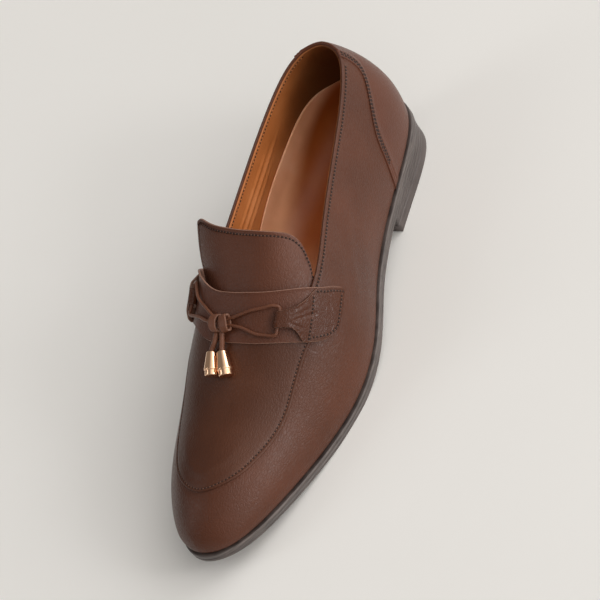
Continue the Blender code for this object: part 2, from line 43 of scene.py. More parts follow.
# Tassel loafer, left shoe. Working sizes are millimetres, the scene is in metres.
# station = distance from the back of the heel, x lateral +, toe towards -Y, z up from the floor
last = {
    "length": 300.0,
    "centre": (-0.79, 0.35, 0.0),
    "soleThick": 5.3,
    "welt": 1.2,          # the sole stands out past the upper by this
    "gap": 0.3,           # air between neighbouring pieces
    "sideBulge": 2.7,
    "bulgeFade": 15.0,    # half width under which the bulge fades out
    "backLean": 7.7,      # the back curve leans in at the top and swells below it
    "backBulge": 3.15,
    "backReach": 0.35,    # share of the length
    "backHeight": 60.0,
    # station share, sole edge lateral, sole edge medial, top of sole, ridge above sole,
    # fullness lateral, fullness medial, wall steepness
    "sections": np.array((
        (0.00, -1.0, -1.0, 24.0, 82.0, 2.60, 2.65, 2.80),
        (0.05, 22.0, -23.6, 22.9, 83.9, 2.62, 2.70, 2.83),
        (0.14, 27.9, -31.2, 20.8, 85.5, 2.64, 2.81, 2.86),
        (0.26, 30.8, -34.8, 17.7, 87.0, 2.58, 2.95, 2.83),
        (0.40, 38.2, -37.0, 14.3, 84.8, 2.37, 3.12, 2.63),
        (0.52, 48.0, -42.5, 9.6, 75.5, 2.25, 3.06, 2.35),
        (0.62, 48.8, -49.8, 5.6, 63.4, 2.26, 2.79, 2.10),
        (0.74, 41.5, -49.4, 5.8, 47.0, 2.30, 2.46, 1.93),
        (0.86, 31.0, -39.4, 10.7, 35.2, 2.32, 2.33, 1.92),
        (0.95, 19.2, -25.2, 15.2, 20.6, 2.31, 2.30, 1.96),
        (1.00, -3.0, -3.0, 18.0, 0.0, 2.30, 2.30, 2.00),
    )),
    # topline: station share, height above the floor
    "collar": np.array((
        (0.00, 91.5),
        (0.06, 89.0),
        (0.18, 81.3),
        (0.30, 74.5),
        (0.42, 69.0),
        (0.53, 63.8),
    )),
    "collarEnd": 0.53,
    "throat": 184.0,
}
station0, lateral0, medial0, soleTop0, ridge0, fullLat0, fullMed0, steep0 = last["sections"].T
lastSpan = last["length"] - 2 * last["welt"]
cornerStation = last["welt"] + lastSpan * last["collarEnd"]
mm = 0.001
slopeStep = 0.4    # mm, short step that finds a direction on a surface or along a line
wideStep = 0.5     # mm, the same under the knot and along the sock
nearRidge = 0.999  # heights stop just short of the ridge
tiny = 1e-6        # mm, keeps a division from zero
weld = 2e-6        # metres, points closer than this are one
sliver = 1e-7      # metres, edges shorter than this are dropped


# the last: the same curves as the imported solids

def naturalSpline(knots, values, at):
    count = len(knots)
    step = np.diff(knots)
    slope = np.diff(values) / step
    matrix = np.eye(count)
    right = np.zeros(count)
    for i in range(1, count - 1):
        matrix[i, i - 1:i + 2] = step[i - 1], 2 * (step[i - 1] + step[i]), step[i]
        right[i] = 6 * (slope[i] - slope[i - 1])
    bend = np.linalg.solve(matrix, right)
    i = np.clip(np.searchsorted(knots, at, side="right") - 1, 0, count - 2)
    t = at - np.asarray(knots)[i]
    first = slope[i] - step[i] * (2 * bend[i] + bend[i + 1]) / 6
    third = (bend[i + 1] - bend[i]) / (6 * step[i])
    return np.asarray(values)[i] + t * (first + t * (bend[i] / 2 + t * third))


def turnAngle(share):
    return np.arccos(1 - 2 * np.clip(share, 0.0, 1.0))


turn0 = turnAngle(station0)
ringAngle = np.concatenate((turn0, 2 * math.pi - turn0[1:-1][::-1]))
ringX = np.concatenate((lateral0, medial0[1:-1][::-1]))


def soleOutline(angle):
    full = 2 * math.pi
    wide = np.concatenate((ringAngle - full, ringAngle, ringAngle + full))
    return naturalSpline(wide, np.tile(ringX, 3), np.mod(angle, full))


def soleTop(station):
    return naturalSpline(station0, soleTop0, np.clip(station / last["length"], 0.0, 1.0))


def soleBottom(station):
    return np.maximum(soleTop(station) - last["soleThick"], 0.0)


def shareOf(station):
    return (station - last["welt"]) / lastSpan


def stationAt(turned):
    return last["welt"] + lastSpan * (1 - np.cos(turned)) / 2


def sectionAt(station):
    angle = turnAngle(shareOf(station))
    lateral = soleOutline(angle)
    medial = soleOutline(2 * math.pi - angle)
    return (lateral + medial) / 2, np.maximum((lateral - medial) / 2 - last["welt"], 0.0)


def shapeAt(station, side):
    share = shareOf(station)
    middle, half = sectionAt(station)
    ridge = np.maximum(naturalSpline(turn0, ridge0, turnAngle(share)), 0.0)
    fullLat, fullMed, steep = (naturalSpline(station0, row, share) for row in (fullLat0, fullMed0, steep0))
    return middle, half, ridge, np.where(side > 0, fullLat, fullMed), steep


def lastByAngle(station, angle):
    # 0 on the ridge, a right angle at the sole edge, lateral positive
    side = np.where(angle >= 0, 1.0, -1.0)
    middle, half, ridge, full, steep = shapeAt(station, side)
    rise = np.clip(np.cos(angle), 0.0, 1.0) ** (2 / steep)
    height = ridge * rise
    swell = 27 / 4 * rise * (1 - rise) ** 2    # 1 at a third of the height
    bulge = swell * last["sideBulge"] * np.clip(half / last["bulgeFade"], 0.0, 1.0)
    back = np.clip(1 - shareOf(station) / last["backReach"], 0.0, 1.0) ** 2
    t = height / last["backHeight"]
    lean = back * (last["backLean"] * t * t - last["backBulge"] * 4 * t * (1 - t))
    x = middle + side * (half * np.sin(np.abs(angle)) ** (2 / full) + bulge)
    return np.stack((x, last["length"] / 2 - station - lean, soleTop(station) + last["gap"] + height), -1)


def angleAtX(station, x):
    middle, _ = sectionAt(station)
    side = np.where(x >= middle, 1.0, -1.0)
    middle, half, _, full, _ = shapeAt(station, side)
    ratio = np.where(half > tiny, np.abs(x - middle) / np.maximum(half, tiny), 0.0)
    return side * np.arcsin(np.clip(ratio, 0.0, 1.0) ** (full / 2))


def xAtAngle(station, angle):
    side = np.where(angle >= 0, 1.0, -1.0)
    middle, half, _, full, _ = shapeAt(station, side)
    return middle + side * half * np.sin(np.abs(angle)) ** (2 / full)


def wallAngle(station, share, side):
    # share of the wall's height, 0 at the sole and 1 at the topline
    low = np.clip(shareOf(station), 0.0, last["collarEnd"])
    top = naturalSpline(*last["collar"].T, low) - soleTop(station)
    _, _, ridge, _, steep = shapeAt(station, side)
    rise = np.clip(top * share / ridge, 0.0, nearRidge)
    return side * np.arccos(rise ** (steep / 2))


def unit(vectors):
    return vectors / np.maximum(np.linalg.norm(vectors, axis=-1, keepdims=True), tiny * mm)


def surfaceAt(station, x):
    # point and outward normal
    h = slopeStep
    here, ahead, behind, out, into = (lastByAngle(s, angleAtX(s, across)) for s, across in (
        (station, x), (station + h, x), (station - h, x), (station, x + h), (station, x - h)))
    normal = unit(np.cross(ahead - behind, out - into))
    return here, normal * np.sign(normal[..., 2:3])


def lifted(station, x, lift):
    here, normal = surfaceAt(station, x)
    return here + normal * np.asarray(lift)[..., None]


def smoothStep(value):
    t = np.clip(value, 0.0, 1.0)
    return t * t * (3 - 2 * t)


def bump(distance, width):
    return np.exp(-(distance / width) ** 2)


def squared(wave, power):
    # a circle's sine or cosine, squared off
    return np.sign(wave) * np.abs(wave) ** power


def runAlong(points):
    # distance along each line from its start
    steps = np.linalg.norm(np.diff(points, axis=-2), axis=-1)
    return np.concatenate((np.zeros(steps.shape[:-1] + (1,)), steps.cumsum(-1)), -1)


def pointsAt(at, run, line):
    return np.stack([np.interp(at, run, line[:, k]) for k in range(3)], -1)


def frontLine(side, u, top, fine):
    # line over the forefoot from the top edge (station, x) down to the sole, u from the waist to the toe
    corner = float(turnAngle(last["collarEnd"]))
    foot = stationAt(corner + (math.pi - corner) * u)
    middle, half = sectionAt(np.array(foot))
    footX = middle + side * half
    climb = 1 - np.cos(fine * math.pi / 2)
    station = foot + (top[0] - foot) * climb
    return lastByAngle(station, angleAtX(station, footX + (top[1] - footX) * climb))


# mesh making

def toScene(points):
    return (np.asarray(points) - last["centre"]) * mm


def addPiece(name, points, faces, materials, replaced=(), faceLooks=None):
    # one closed mesh that rides on the shoe
    mesh = bpy.data.meshes.new(name)
    mesh.from_pydata(toScene(points).tolist(), [], faces)
    for look in materials:
        mesh.materials.append(look)
    if faceLooks is not None:
        mesh.polygons.foreach_set("material_index", np.asarray(faceLooks, np.int32))
    work = bmesh.new()
    work.from_mesh(mesh)
    bmesh.ops.remove_doubles(work, verts=work.verts, dist=weld)
    bmesh.ops.dissolve_degenerate(work, edges=work.edges, dist=sliver)
    bmesh.ops.triangulate(work, faces=[f for f in work.faces if len(f.verts) > 4])
    bmesh.ops.recalc_face_normals(work, faces=work.faces)
    for face in work.faces:
        face.smooth = True
    work.to_mesh(mesh)
    work.free()
    piece = bpy.data.objects.new(name, mesh)
    bpy.context.scene.collection.objects.link(piece)
    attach(piece, "root")
    if replaced:
        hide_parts(*replaced)
    return piece


def loft(loops, wrap=False, capped=True):
    # faces between closed loops of the same count
    count, around = loops.shape[:2]
    faces = []
    for i in range(count if wrap else count - 1):
        n = (i + 1) % count
        for j in range(around):
            k = (j + 1) % around
            faces.append((i * around + j, n * around + j, n * around + k, i * around + k))
    if capped and not wrap:
        faces.append(tuple(range(around - 1, -1, -1)))
        faces.append(tuple(range((count - 1) * around, count * around)))
    return faces


def gridNormals(points):
    normal = unit(np.cross(np.gradient(points, axis=0), np.gradient(points, axis=1)))
    heart = points.mean(axis=(0, 1))
    return normal * np.sign(((points - heart) * normal).sum())


def resample(path, near, count):
    # along each line: set distances from its start, then even steps to its end
    lines = []
    for line in path:
        run = runAlong(line)
        far = np.linspace(near[-1], run[-1], count + 1)[1:]
        lines.append(pointsAt(np.concatenate((near, far)), run, line))
    return np.array(lines)


sheetEnd = 0.4    # a sheet's short ends thin to this share of the thickness


def sheetLoops(outer, inner, edge):
    # closed cross-sections of a leather sheet with softly rounded edges
    thick = np.linalg.norm(outer - inner, axis=-1, keepdims=True)
    middle = (outer + inner) / 2
    outFirst = unit(middle[:, 0] - middle[:, 1])
    outLast = unit(middle[:, -1] - middle[:, -2])
    outer, inner = outer.copy(), inner.copy()
    for grid in (outer, inner):
        grid[:, 0] -= outFirst * thick[:, 0] * edge
        grid[:, -1] -= outLast * thick[:, -1] * edge
    loops = np.concatenate((outer, middle[:, -1:], inner[:, ::-1], middle[:, :1]), axis=1)
    spine = np.concatenate((middle, middle[:, -1:], middle[:, ::-1], middle[:, :1]), axis=1)
    ends = []
    for at, beside in ((0, 1), (-1, -2)):
        away = unit(spine[at] - spine[beside])
        ends.append(spine[at] + (loops[at] - spine[at]) * sheetEnd + away * thick[at].mean() * edge)
    return np.concatenate((ends[0][None], loops, ends[1][None]))


def addSheet(name, outer, inner, materials, replaced=(), edge=0.3):
    # materials: grain side, cut edge, flesh side
    loops = sheetLoops(outer, inner, edge)
    rows, columns = outer.shape[:2]
    row = [0] * (columns - 1) + [1, 1] + [2] * (columns - 1) + [1, 1]
    end = [1] * len(row)
    looks = end + row * (rows - 1) + end + [1, 1]
    addPiece(name, loops.reshape(-1, 3), loft(loops), materials, replaced, looks)


def polylineDistance(points, line):
    best = np.full(points.shape[:-1], np.inf)
    for a, b in zip(line[:-1], line[1:]):
        along = b - a
        t = np.clip(((points - a) * along).sum(-1) / (along * along).sum(), 0.0, 1.0)
        best = np.minimum(best, np.linalg.norm(points - a - t[..., None] * along, axis=-1))
    return best


# materials

def linear(hexColour):
    parts = [int(hexColour[i:i + 2], 16) / 255 for i in (1, 3, 5)]
    return (*[c / 12.92 if c <= 0.04045 else ((c + 0.055) / 1.055) ** 2.4 for c in parts], 1.0)


def addNode(tree, kind, settings=None, links=None):
    # names with a capital and numbers are sockets, the rest are properties
    node = tree.nodes.new(kind)
    for key, value in (settings or {}).items():
        if isinstance(key, int) or key[0].isupper():
            node.inputs[key].default_value = value
        else:
            setattr(node, key, value)
    for key, source in (links or {}).items():
        tree.links.new(source, node.inputs[key])
    return node


def newMaterial(name, settings):
    material = bpy.data.materials.new(name)
    material.use_nodes = True
    tree = material.node_tree
    shader = tree.nodes["Principled BSDF"]
    for key, value in settings.items():
        shader.inputs[key].default_value = value
    place = addNode(tree, "ShaderNodeTexCoord").outputs["Object"]
    return material, tree, shader, place


def setTones(ramp, low, high, tones):
    # shade, base and light of a cloudy surface
    stops = ramp.color_ramp.elements
    for stop, at, tone in ((stops[0], low, tones[0]), (stops[1], high, tones[2])):
        stop.position, stop.color = at, linear(tone)
    stops.new(0.5).color = linear(tones[1])


def linkShader(tree, shader, links):
    for key, source in links.items():
        tree.links.new(source, shader.inputs[key])


# Calf leather, dyed through, plated smooth and waxed: an even deep brown with a soft shine,
# a little cloudy in tone, and fine grain that only shows where the light catches it.
calf = {
    "cloud": 38.0,       # mm, width of the tone patches
    "grain": 1.35,       # mm, real grain is about 0.5 mm and is drawn coarser so that it shows
    "pore": 1.0,         # mm, real pores are about 0.2 mm and are drawn coarser too
    "crease": 0.16,      # width of the lines between the grains, as a share of a grain
    "drift": 6.0,        # mm, the grain wanders over this width
    "driftBy": 1.6,      # mm
    "stretch": 0.5,      # grain runs along the shoe
    "depth": 0.4,        # mm
    "sparkle": 0.20,     # change of roughness from pore to pore
    "roughness": 0.35,
}


def calfLeather(name, tones, roughness=calf["roughness"], grain=0.34, coat=0.03):
    material, tree, shader, place = newMaterial(name, {
        "IOR": 1.46, "Specular IOR Level": 0.28, "Coat Weight": coat, "Coat Roughness": 0.25,
    })
    along = addNode(tree, "ShaderNodeMapping", {"Scale": (1.0, calf["stretch"], 1.0)}, {"Vector": place})
    cloud = addNode(tree, "ShaderNodeTexNoise", {"Scale": 1000 / calf["cloud"], "Detail": 3.0},
                    {"Vector": place})
    ramp = addNode(tree, "ShaderNodeValToRGB", {}, {"Fac": cloud.outputs["Fac"]})
    setTones(ramp, 0.30, 0.72, tones)
    drift = addNode(tree, "ShaderNodeTexNoise", {"Scale": 1000 / calf["drift"], "Detail": 2.0},
                    {"Vector": place})
    bent = addNode(tree, "ShaderNodeVectorMath",
                   {"operation": "MULTIPLY_ADD", 1: (calf["driftBy"] * mm,) * 3},
                   {0: drift.outputs["Color"], 2: along.outputs["Vector"]})
    cells = addNode(tree, "ShaderNodeTexVoronoi",
                    {"feature": "DISTANCE_TO_EDGE", "Scale": 1000 / calf["grain"]},
                    {"Vector": bent.outputs["Vector"]})
    creased = addNode(tree, "ShaderNodeMapRange", {"From Min": 0.0, "From Max": calf["crease"]},
                      {"Value": cells.outputs["Distance"]})
    pores = addNode(tree, "ShaderNodeTexNoise", {"Scale": 1000 / calf["pore"], "Detail": 2.0},
                    {"Vector": along.outputs["Vector"]})
    heights = addNode(tree, "ShaderNodeMath", {"operation": "MULTIPLY_ADD", 1: 0.5},
                      {0: creased.outputs["Result"], 2: pores.outputs["Fac"]})
    relief = addNode(tree, "ShaderNodeBump", {"Strength": grain, "Distance": calf["depth"] * mm},
                     {"Height": heights.outputs["Value"]})
    middle = roughness - calf["sparkle"] / 2
    gloss = addNode(tree, "ShaderNodeMapRange", {"To Min": middle - 0.06, "To Max": middle + 0.08},
                    {"Value": cloud.outputs["Fac"]})
    spark = addNode(tree, "ShaderNodeMath", {"operation": "MULTIPLY_ADD", 1: calf["sparkle"]},
                    {0: pores.outputs["Fac"], 2: gloss.outputs["Result"]})
    linkShader(tree, shader, {"Base Color": ramp.outputs["Color"], "Roughness": spark.outputs["Value"],
                              "Normal": relief.outputs["Normal"]})
    return material


# Lining hide, vegetable tanned and left undyed: warm tan, matt, with rubbed lighter patches,
# and painted shade that darkens it one way through the shoe.
hide = {
    "cloud": 24.0,       # mm, width of the tone patches
    "nap": 1.2,          # mm, real nap is finer and is drawn coarser so that it shows
    "depth": 0.3,        # mm
    "glossChange": 0.08,
}


def tanHide(name, tones, roughness, way, start, stop, shadeTone):
    # painted shade: way is the direction in which it darkens, from start to stop in mm
    material, tree, shader, place = newMaterial(name, {"IOR": 1.47})
    cloud = addNode(tree, "ShaderNodeTexNoise", {"Scale": 1000 / hide["cloud"], "Detail": 4.0},
                    {"Vector": place})
    ramp = addNode(tree, "ShaderNodeValToRGB", {}, {"Fac": cloud.outputs["Fac"]})
    setTones(ramp, 0.28, 0.75, tones)
    # painted shade: the tones are multiplied by the shade colour along way, darkest past stop
    far = addNode(tree, "ShaderNodeVectorMath", {"operation": "DOT_PRODUCT", 1: way}, {0: place})
    paintedShadeMask = addNode(tree, "ShaderNodeMapRange",
                      {"interpolation_type": "SMOOTHSTEP", "From Min": start * mm, "From Max": stop * mm},
                      {"Value": far.outputs["Value"]})
    wearAndShade = addNode(tree, "ShaderNodeMix", {"data_type": "RGBA", "blend_type": "MULTIPLY", 7: linear(shadeTone)},
                   {0: paintedShadeMask.outputs["Result"], 6: ramp.outputs["Color"]})
    nap = addNode(tree, "ShaderNodeTexNoise", {"Scale": 1000 / hide["nap"], "Detail": 3.0}, {"Vector": place})
    relief = addNode(tree, "ShaderNodeBump", {"Strength": 0.25, "Distance": hide["depth"] * mm},
                     {"Height": nap.outputs["Fac"]})
    gloss = addNode(tree, "ShaderNodeMapRange",
                    {"To Min": roughness - hide["glossChange"], "To Max": roughness + hide["glossChange"]},
                    {"Value": nap.outputs["Fac"]})
    linkShader(tree, shader, {"Base Color": wearAndShade.outputs[2], "Roughness": gloss.outputs["Result"],
                              "Normal": relief.outputs["Normal"]})
    return material


# Cut leather edge, inked and rubbed: paler and fibrous beside the grain side.
edgeFibre = 1.6    # mm, real fibre bundles are finer and are drawn coarser so that they show


def cutEdge(name, dark, pale):
    material, tree, shader, place = newMaterial(name, {"IOR": 1.47, "Roughness": 0.55})
    fibre = addNode(tree, "ShaderNodeTexNoise", {"Scale": 1000 / edgeFibre, "Detail": 4.0}, {"Vector": place})
    mixed = addNode(tree, "ShaderNodeMix", {"data_type": "RGBA", 6: linear(dark), 7: linear(pale)},
                    {0: fibre.outputs["Fac"]})
    relief = addNode(tree, "ShaderNodeBump", {"Strength": 0.3, "Distance": 0.3 * mm},
                     {"Height": fibre.outputs["Fac"]})
    linkShader(tree, shader, {"Base Color": mixed.outputs[2], "Normal": relief.outputs["Normal"]})
    return material


# Sole leather edge, trimmed on a wheel, stained and burnished: grey brown, layered along its length.
# The heel's rubber lift is moulded and trimmed on the same wheel: as grey, and duller.
soleEdge = {
    "layer": 0.9,        # mm, thickness of the fibre layers
    "flatten": 0.05,     # the layers run this much longer than they are thick
    "wearAndShade": 7.0,         # mm, width of the worn patches
    "depth": 0.3,        # mm
}


def burnishedEdge(name, dark, pale, roughness):
    material, tree, shader, place = newMaterial(name, {"IOR": 1.5, "Coat Weight": 0.1, "Coat Roughness": 0.3})
    flat = addNode(tree, "ShaderNodeMapping", {"Scale": (soleEdge["flatten"], soleEdge["flatten"], 1.0)},
                   {"Vector": place})
    layers = addNode(tree, "ShaderNodeTexNoise", {"Scale": 1000 / soleEdge["layer"], "Detail": 3.0},
                     {"Vector": flat.outputs["Vector"]})
    wearAndShade = addNode(tree, "ShaderNodeTexNoise", {"Scale": 1000 / soleEdge["wearAndShade"], "Detail": 4.0},
                   {"Vector": place})
    both = addNode(tree, "ShaderNodeMath", {"operation": "MULTIPLY_ADD", 1: 0.45},
                   {0: wearAndShade.outputs["Fac"], 2: layers.outputs["Fac"]})
    tone = addNode(tree, "ShaderNodeMapRange", {"From Min": 0.45, "From Max": 0.95},
                   {"Value": both.outputs["Value"]})
    mixed = addNode(tree, "ShaderNodeMix", {"data_type": "RGBA", 6: linear(dark), 7: linear(pale)},
                    {0: tone.outputs["Result"]})
    relief = addNode(tree, "ShaderNodeBump", {"Strength": 0.25, "Distance": soleEdge["depth"] * mm},
                     {"Height": both.outputs["Value"]})
    gloss = addNode(tree, "ShaderNodeMapRange", {"To Min": roughness - 0.07, "To Max": roughness + 0.1},
                    {"Value": wearAndShade.outputs["Fac"]})
    linkShader(tree, shader, {"Base Color": mixed.outputs[2], "Roughness": gloss.outputs["Result"],
                              "Normal": relief.outputs["Normal"]})
    return material


# Brass, rose gold plated and polished: a warm mirror with faint handling haze.
hazeWidth = 2.5    # mm


def roseGold(name):
    material, tree, shader, place = newMaterial(name, {"Base Color": linear("#f3c6a2"), "Metallic": 1.0})
    haze = addNode(tree, "ShaderNodeTexNoise", {"Scale": 1000 / hazeWidth, "Detail": 3.0}, {"Vector": place})
    gloss = addNode(tree, "ShaderNodeMapRange", {"To Min": 0.03, "To Max": 0.12},
                    {"Value": haze.outputs["Fac"]})
    relief = addNode(tree, "ShaderNodeBump", {"Strength": 0.03, "Distance": 0.2 * mm},
                     {"Height": haze.outputs["Fac"]})
    linkShader(tree, shader, {"Roughness": gloss.outputs["Result"], "Normal": relief.outputs["Normal"]})
    return material


# Polyester sewing thread, twisted and waxed: a fine dull line. The needle's hole beside it,
# punched through the leather, is drawn as painted shade: the same dull surface in near black.
threadTwist = 0.8    # mm, real twist is about 0.3 mm and is drawn coarser so that it shows


def sewingThread(name, dark, pale, roughness=0.6):
    material, tree, shader, place = newMaterial(name, {"IOR": 1.5, "Roughness": roughness})
    twist = addNode(tree, "ShaderNodeTexNoise", {"Scale": 1000 / threadTwist, "Detail": 1.0},
                    {"Vector": place})
    mixed = addNode(tree, "ShaderNodeMix", {"data_type": "RGBA", 6: linear(dark), 7: linear(pale)},
                    {0: twist.outputs["Fac"]})
    linkShader(tree, shader, {"Base Color": mixed.outputs[2]})
    return material


# Painted plaster floor, rolled matt: pale warm grey with barely visible unevenness.
floorPatch = 500 / 3    # mm, width of the uneven patches


def paintedFloor(name):
    material, tree, shader, place = newMaterial(name, {"Roughness": 0.75, "IOR": 1.45})
    patch = addNode(tree, "ShaderNodeTexNoise", {"Scale": 1000 / floorPatch, "Detail": 5.0}, {"Vector": place})
    mixed = addNode(tree, "ShaderNodeMix", {"data_type": "RGBA", 6: linear("#f0eeea"), 7: linear("#f5f3f0")},
                    {0: patch.outputs["Fac"]})
    linkShader(tree, shader, {"Base Color": mixed.outputs[2]})
    return material


# painted light and shade: the upper is one calf leather, and the counter, tongue and strap copies are set
# lighter and the apron copy darker than the wall's, to match how brightly each panel is lit
counterCalf = calfLeather("calf_leather_counter", ("#522e20", "#573122", "#5e3525"))
apronCalf = calfLeather("calf_leather_apron", ("#472719", "#4b2a1b", "#533020"))
wallCalf = calfLeather("calf_leather_wall", ("#4a291b", "#4f2c1d", "#563020"), 0.32, 0.45, 0.05)
tongueCalf = calfLeather("calf_leather_tongue", ("#522e20", "#573223", "#5e3727"), 0.35, 0.42)
strapCalf = calfLeather("calf_leather_strap", ("#533021", "#583223", "#5f3728"), 0.36, 0.42)
tabCalf = calfLeather("calf_leather_tab", ("#442110", "#482412", "#502a18"), 0.25, 0.4)
laceCalf = calfLeather("calf_leather_lace", ("#573324", "#643d2c", "#734a37"), 0.32, 0.4)
# painted shade: the lining darkens towards the heel, lower down and towards the lateral side, where the heel's
# inside lies in shadow
liningHide = tanHide("tan_hide_lining", ("#a8622f", "#b96f3a", "#c67e4a"), 0.50,
                     (0.2, 0.7, -0.7), -6.0, 52.0, "#807c68")
# painted shade: the insole and sock darken lower down and towards the heel, where the lateral wall's shadow
# falls
insoleHide = tanHide("tan_hide_insole", ("#e2a57b", "#efb086", "#f5be98"), 0.46,
                     (0.0, 0.28, -1.0), -17.0, -5.0, "#ae7e44")
# partly painted highlight: the cut edges are paler as cut leather is, and set paler still so that the strap's
# and tongue's edges read as a lit line
inkedEdge = cutEdge("leather_cut_edge_inked", "#704d3f", "#9a7665")
tabEdge = cutEdge("leather_cut_edge_tab", "#6a4839", "#8f6b5a")
laceEdge = cutEdge("leather_cut_edge_lace", "#5a3828", "#744e3c")
soleStain = burnishedEdge("sole_leather_burnished", "#322b29", "#5e5450", 0.42)
# painted highlight: a paler copy of the sole edge for the two bevels that catch the light
bevelHighlight = burnishedEdge("sole_leather_painted_highlight", "#433b38", "#6b625e", 0.38)
heelStain = burnishedEdge("heel_leather_burnished", "#362e2c", "#514744", 0.42)
heelRubber = burnishedEdge("heel_rubber_moulded", "#3a3230", "#564c49", 0.5)
tipMetal = roseGold("brass_rose_gold_polished")
brownThread = sewingThread("polyester_thread_brown", "#4a2c20", "#7a5543")
tanThread = sewingThread("polyester_thread_tan", "#8a4a20", "#c98a55")
needleHole = sewingThread("needle_hole_shadow", "#1c0e09", "#2e1911", 0.9)
print("materials ready:", len(bpy.data.materials))

# camera at the photograph's angle, worked out from the shoe's own sizes
view = {
    "azimuth": 55.22,            # degrees
    "elevation": 41.83,
    "roll": -42.06,
    "target": (0.0, 0.0, 40.0),  # mm
    "distance": 2064.6,
    "aside": (59.3, -4.8),
    "focalPixels": 3285.0,
    # the photograph's eye, turned to the middle of the shoe and drawn a little closer
    "aim": (7.3, 3.3, 35.4),
    "closer": 1.15,
    "imageWidth": 600.0,
    "sensor": 36.0,              # mm
    "clipEnd": 50.0,             # metres
}


def viewAxes():
    azimuth, elevation, roll = (math.radians(view[k]) for k in ("azimuth", "elevation", "roll"))
    back = np.array((math.sin(azimuth) * math.cos(elevation), -math.cos(azimuth) * math.cos(elevation),
                     math.sin(elevation)))
    right = unit(np.cross((0.0, 0.0, 1.0), back))
    up = np.cross(back, right)
    return (math.cos(roll) * right + math.sin(roll) * up, math.cos(roll) * up - math.sin(roll) * right, back)


def addCamera():
    right, up, back = viewAxes()
    aside, above = view["aside"]
    eye = np.array(view["target"]) + view["distance"] * back - aside * right - above * up
    back = unit(eye - np.array(view["aim"]))
    right = unit(right - back * (right * back).sum())
    up = np.cross(back, right)
    data = bpy.data.cameras.new("photo_angle")
    data.sensor_width = view["sensor"]
    data.lens = view["sensor"] * view["focalPixels"] * view["closer"] / view["imageWidth"]
    data.clip_end = view["clipEnd"]
    camera = bpy.data.objects.new("photo_angle", data)
    matrix = Matrix(np.stack((right, up, back), 1).tolist()).to_4x4()
    matrix.translation = Vector(toScene(eye))
    camera.matrix_world = matrix
    bpy.context.scene.collection.objects.link(camera)
    bpy.context.scene.camera = camera


addCamera()

# soft studio: a wide pale glow from the lateral side, dim elsewhere, a large softbox over the heel,
# a small one for the sheen of the leather and a weak strip from the medial side
studio = {
    "floorSize": 12.0,
    "surround": "#f4f1ed",
    "glowFrom": (0.955, 0.22, 0.20),    # direction of the glow's middle
    "glowFocus": 1.6,                   # higher is narrower
    "glowDim": 0.24,
    "glowBright": 2.45,
    # name, from (metres), width, height, power in watts
    "lamps": (
        ("key", (1.25, 1.45, 1.20), 1.5, 1.2, 11.5),
        ("spark", (1.95, 0.06, 0.85), 0.46, 0.36, 7.0),
        ("rim", (-1.0, -0.65, 0.95), 0.45, 1.0, 2.2),
    ),
    "lampAim": (0.0, 0.0, 0.05),
}


def addStudio():
    size = studio["floorSize"] / 2
    mesh = bpy.data.meshes.new("floor")
    corners = [(-size, -size, 0), (size, -size, 0), (size, size, 0), (-size, size, 0)]
    mesh.from_pydata(corners, [], [(0, 1, 2, 3)])
    mesh.materials.append(paintedFloor("plaster_painted_matt"))
    floor = bpy.data.objects.new("floor", mesh)
    bpy.context.scene.collection.objects.link(floor)
    world = bpy.data.worlds.new("surround")
    world.use_nodes = True
    tree = world.node_tree
    sky = tree.nodes["Background"]
    sky.inputs["Color"].default_value = linear(studio["surround"])
    ray = addNode(tree, "ShaderNodeTexCoord").outputs["Generated"]
    facing = addNode(tree, "ShaderNodeVectorMath", {"operation": "DOT_PRODUCT", 1: studio["glowFrom"]},
                     {0: ray})
    ahead = addNode(tree, "ShaderNodeMath", {"operation": "MAXIMUM", 1: 0.0}, {0: facing.outputs["Value"]})
    lobe = addNode(tree, "ShaderNodeMath", {"operation": "POWER", 1: studio["glowFocus"]},
                   {0: ahead.outputs["Value"]})
    glow = addNode(tree, "ShaderNodeMapRange", {"To Min": studio["glowDim"], "To Max": studio["glowBright"]},
                   {"Value": lobe.outputs["Value"]})
    tree.links.new(glow.outputs["Result"], sky.inputs["Strength"])
    bpy.context.scene.world = world
    for name, place, width, height, power in studio["lamps"]:
        data = bpy.data.lights.new(name, "AREA")
        data.shape = "RECTANGLE"
        data.size, data.size_y = width, height
        data.energy = power
        lamp = bpy.data.objects.new(name, data)
        lamp.location = place
        lamp.rotation_mode = "QUATERNION"
        lamp.rotation_quaternion = (Vector(studio["lampAim"]) - Vector(place)).to_track_quat("-Z", "Y")
        bpy.context.scene.collection.objects.link(lamp)
    bpy.context.scene.view_settings.view_transform = "Standard"


addStudio()
print("camera, floor and lights ready")

# strap across the instep and its end pieces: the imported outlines, stood up a little more on the medial side
strap = {
    # degrees from the ridge, station of the rear edge, station of the front edge
    "outline": np.array((
        (0.0, 170.2, 194.3),
        (13.0, 168.9, 193.6),
        (27.0, 165.2, 190.6),
        (43.2, 158.4, 184.9),
        (52.0, 154.2, 180.8),
        (56.0, 151.8, 178.0),
        (59.0, 149.8, 175.2),
        (61.2, 148.3, 172.2),
        (62.6, 147.7, 169.4),
        (63.6, 148.2, 166.6),
    )),
    # the medial half lies further back
    "medialBack": 7.0,
    "medialFrom": 5.0,
    "medialOver": 30.0,
    # the sewn end is cut on a slant: degrees added at its rear and front corners
    "slant": (1.7, -0.7),
    "slantFrom": 56.0,
    "under": 0.55,
    "top": 1.95,
    "curl": 0.55,         # the long edges stand up a little
    "curlWide": 1.3,
    "settle": 0.75,       # the sewn ends lie lower than the middle
    "settleFrom": 40.0,
    "settleOver": 18.0,
    # the rear edge stands off the foot on the medial side: mm, and degrees where it starts and ends
    "stand": 3.4,
    "standRise": (6.0, 32.0),
    "standFall": (46.0, 62.0),
    "underSettle": 0.6,   # share of the settling that the under face takes
    "columns": 150,
    "across": 27,
    "evenness": 0.6,      # the rest of the spacing crowds towards the long edges
}
